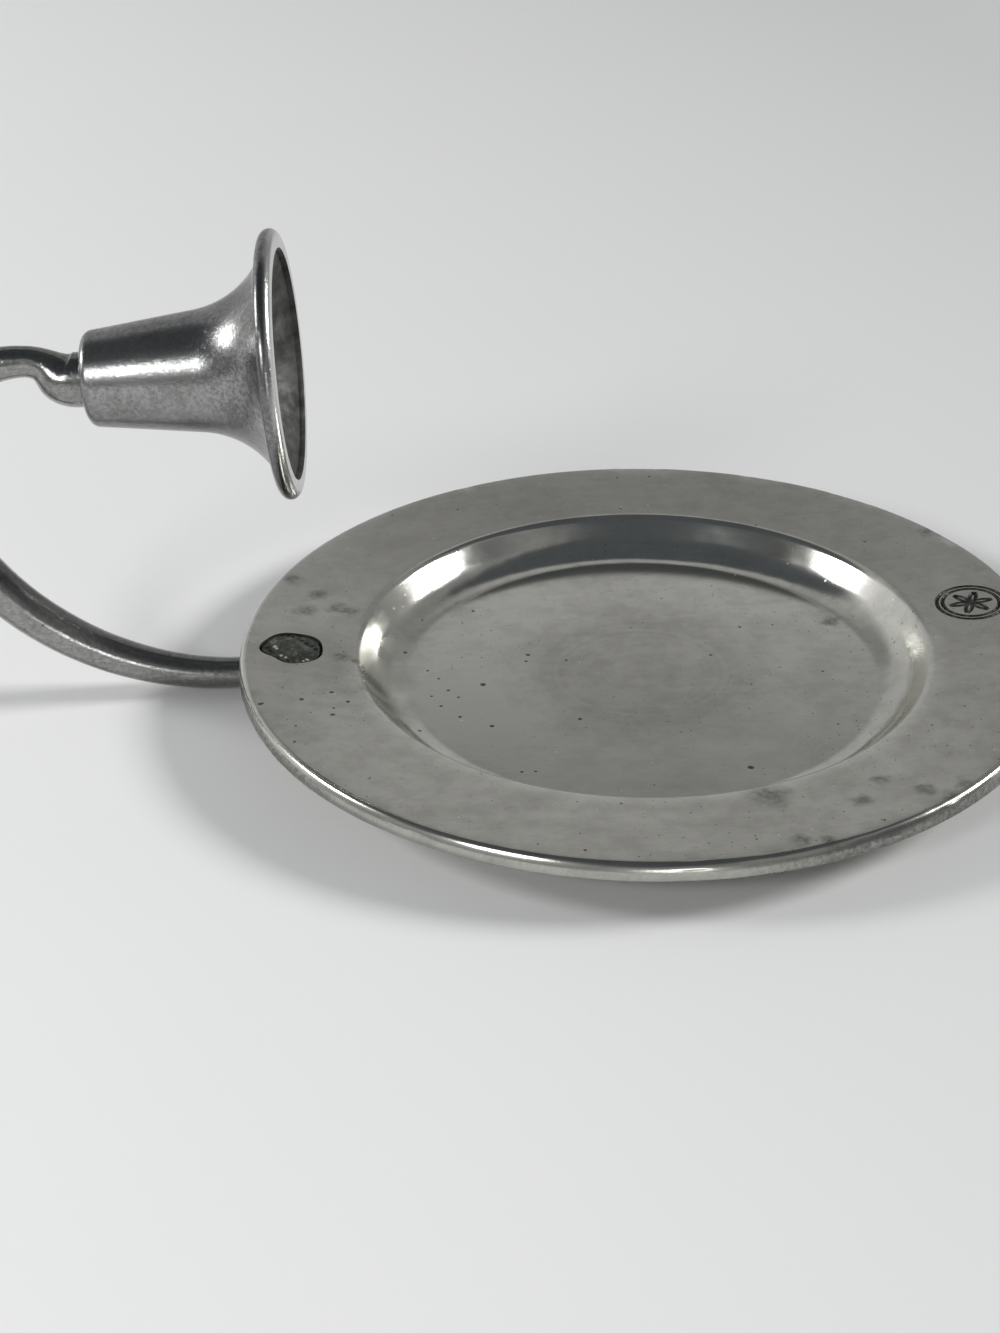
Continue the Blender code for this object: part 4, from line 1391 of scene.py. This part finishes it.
class SCONCE_OT_stage(Operator):
    """Lay the pale table, set up the lamps and the world, and stand the camera"""
    bl_idname = "sconce.stage"
    bl_label = "Stage"

    def execute(self, context):
        stage = context.scene.sconce.stage
        self.table(stage)
        self.lamps(stage)
        self.world(context, stage)
        self.camera(context, stage)
        context.scene.view_settings.view_transform = "Standard"
        return {"FINISHED"}

    def table(self, stage):
        """A plain pale table top."""
        shape = bmesh.new()
        bmesh.ops.create_grid(shape, x_segments=8, y_segments=8, size=TABLE_HALF)
        new_object("table", shape, (table_paint(stage),))

    def lamps(self, stage):
        """Two broad lamps right and left of the sconce, and two small ones in front of it."""
        for name, place, width, height, level in LAMPS:
            light = bpy.data.lights.new(name, "AREA")
            light.shape = "ELLIPSE"
            light.size = width
            light.size_y = height
            light.energy = pi * (pi / 4 * width * height) * level * stage.lamp_level
            lamp = bpy.data.objects.new(name, light)
            lamp.location = place
            lamp.rotation_euler = (-Vector(place)).to_track_quat("-Z", "Y").to_euler()
            lamp.visible_camera = False
            bpy.context.scene.collection.objects.link(lamp)

    def world(self, context, stage):
        """A pale sheet upright behind the table, and a dim room that is lighter low down."""
        world = bpy.data.worlds.new("studio")
        world.use_nodes = True
        context.scene.world = world
        tree = world.node_tree
        direction = put(tree, "ShaderNodeTexCoord").outputs["Generated"]
        x, y, z = axes(tree, direction)
        under_top = maths(tree, "SUBTRACT", times(tree, y, SHEET_TOP_SLOPE), z)
        fold = times(tree, ramp(tree, z, 0.45, 0.56), ramp(tree, z, 0.60, 0.70, 1.0, 0.25))
        sheet = blend(tree, fold, stage.far_side, stage.far_fold)
        sheet = blend(tree, ramp(tree, x, -0.2, -0.9), sheet, stage.far_left)
        sheet = blend(tree, ramp(tree, x, 0.17, 0.45), sheet, stage.far_right)
        room = blend(tree, ramp(tree, x, 0.3, -0.6), stage.near_side, stage.near_left)
        climb = scaled_sum(tree, (larger(tree, x, 0.0), -0.40), base=z)
        room = blend(tree, ramp(tree, climb, 0.44, 0.60), room, stage.overhead)
        room = blend(tree, ramp(tree, x, 0.60, 0.85), room, stage.overhead)
        around = blend(tree, ramp(tree, under_top, -0.1, 0.1), room, sheet)
        tree.links.new(around, tree.nodes["Background"].inputs["Color"])

    def camera(self, context, stage):
        """The camera, as it was fitted to the image."""
        data = bpy.data.cameras.new("camera")
        data.sensor_width = SENSOR
        data.lens = stage.focal_pixels * SENSOR / max(IMAGE_WIDTH, IMAGE_HEIGHT)
        camera = bpy.data.objects.new("camera", data)
        camera.matrix_world = (
            Matrix.Translation(stage.camera_place)
            @ Matrix.Rotation(pi / 2 - stage.camera_pitch, 4, "X")
            @ Matrix.Rotation(stage.camera_roll, 4, "Z")
        )
        context.scene.collection.objects.link(camera)
        context.scene.camera = camera


PIECES = (
    SCONCE_OT_wall_plate, SCONCE_OT_arm, SCONCE_OT_candle_cup, SCONCE_OT_fasteners,
    SCONCE_OT_hanger, SCONCE_OT_stage,
)


class SCONCE_PT_pieces(Panel):
    """The sconce's pieces and their settings"""
    bl_label = "Wall Candle Sconce"
    bl_idname = "SCONCE_PT_pieces"
    bl_space_type = "VIEW_3D"
    bl_region_type = "UI"
    bl_category = "Sconce"

    def draw(self, context):
        for operator in PIECES:
            self.layout.operator(operator.bl_idname)
        sconce = context.scene.sconce
        for group in SconceSettings.__annotations__:
            box = self.layout.box()
            box.label(text=group.capitalize())
            settings = getattr(sconce, group)
            for name in settings.__annotations__:
                box.prop(settings, name)


CLASSES = (
    PlateSettings, MarkSettings, RivetSettings, ArmSettings, CupSettings, ScrewSettings,
    HangerSettings, StageSettings, SconceSettings, *PIECES, SCONCE_PT_pieces,
)


def register():
    for cls in CLASSES:
        bpy.utils.register_class(cls)
    bpy.types.Scene.sconce = PointerProperty(type=SconceSettings)


def unregister():
    del bpy.types.Scene.sconce
    for cls in reversed(CLASSES):
        bpy.utils.unregister_class(cls)


def main():
    register()
    bpy.ops.sconce.wall_plate()
    bpy.ops.sconce.arm()
    bpy.ops.sconce.candle_cup()
    bpy.ops.sconce.fasteners()
    bpy.ops.sconce.hanger()
    bpy.ops.sconce.stage()


if __name__ == "__main__":
    main()
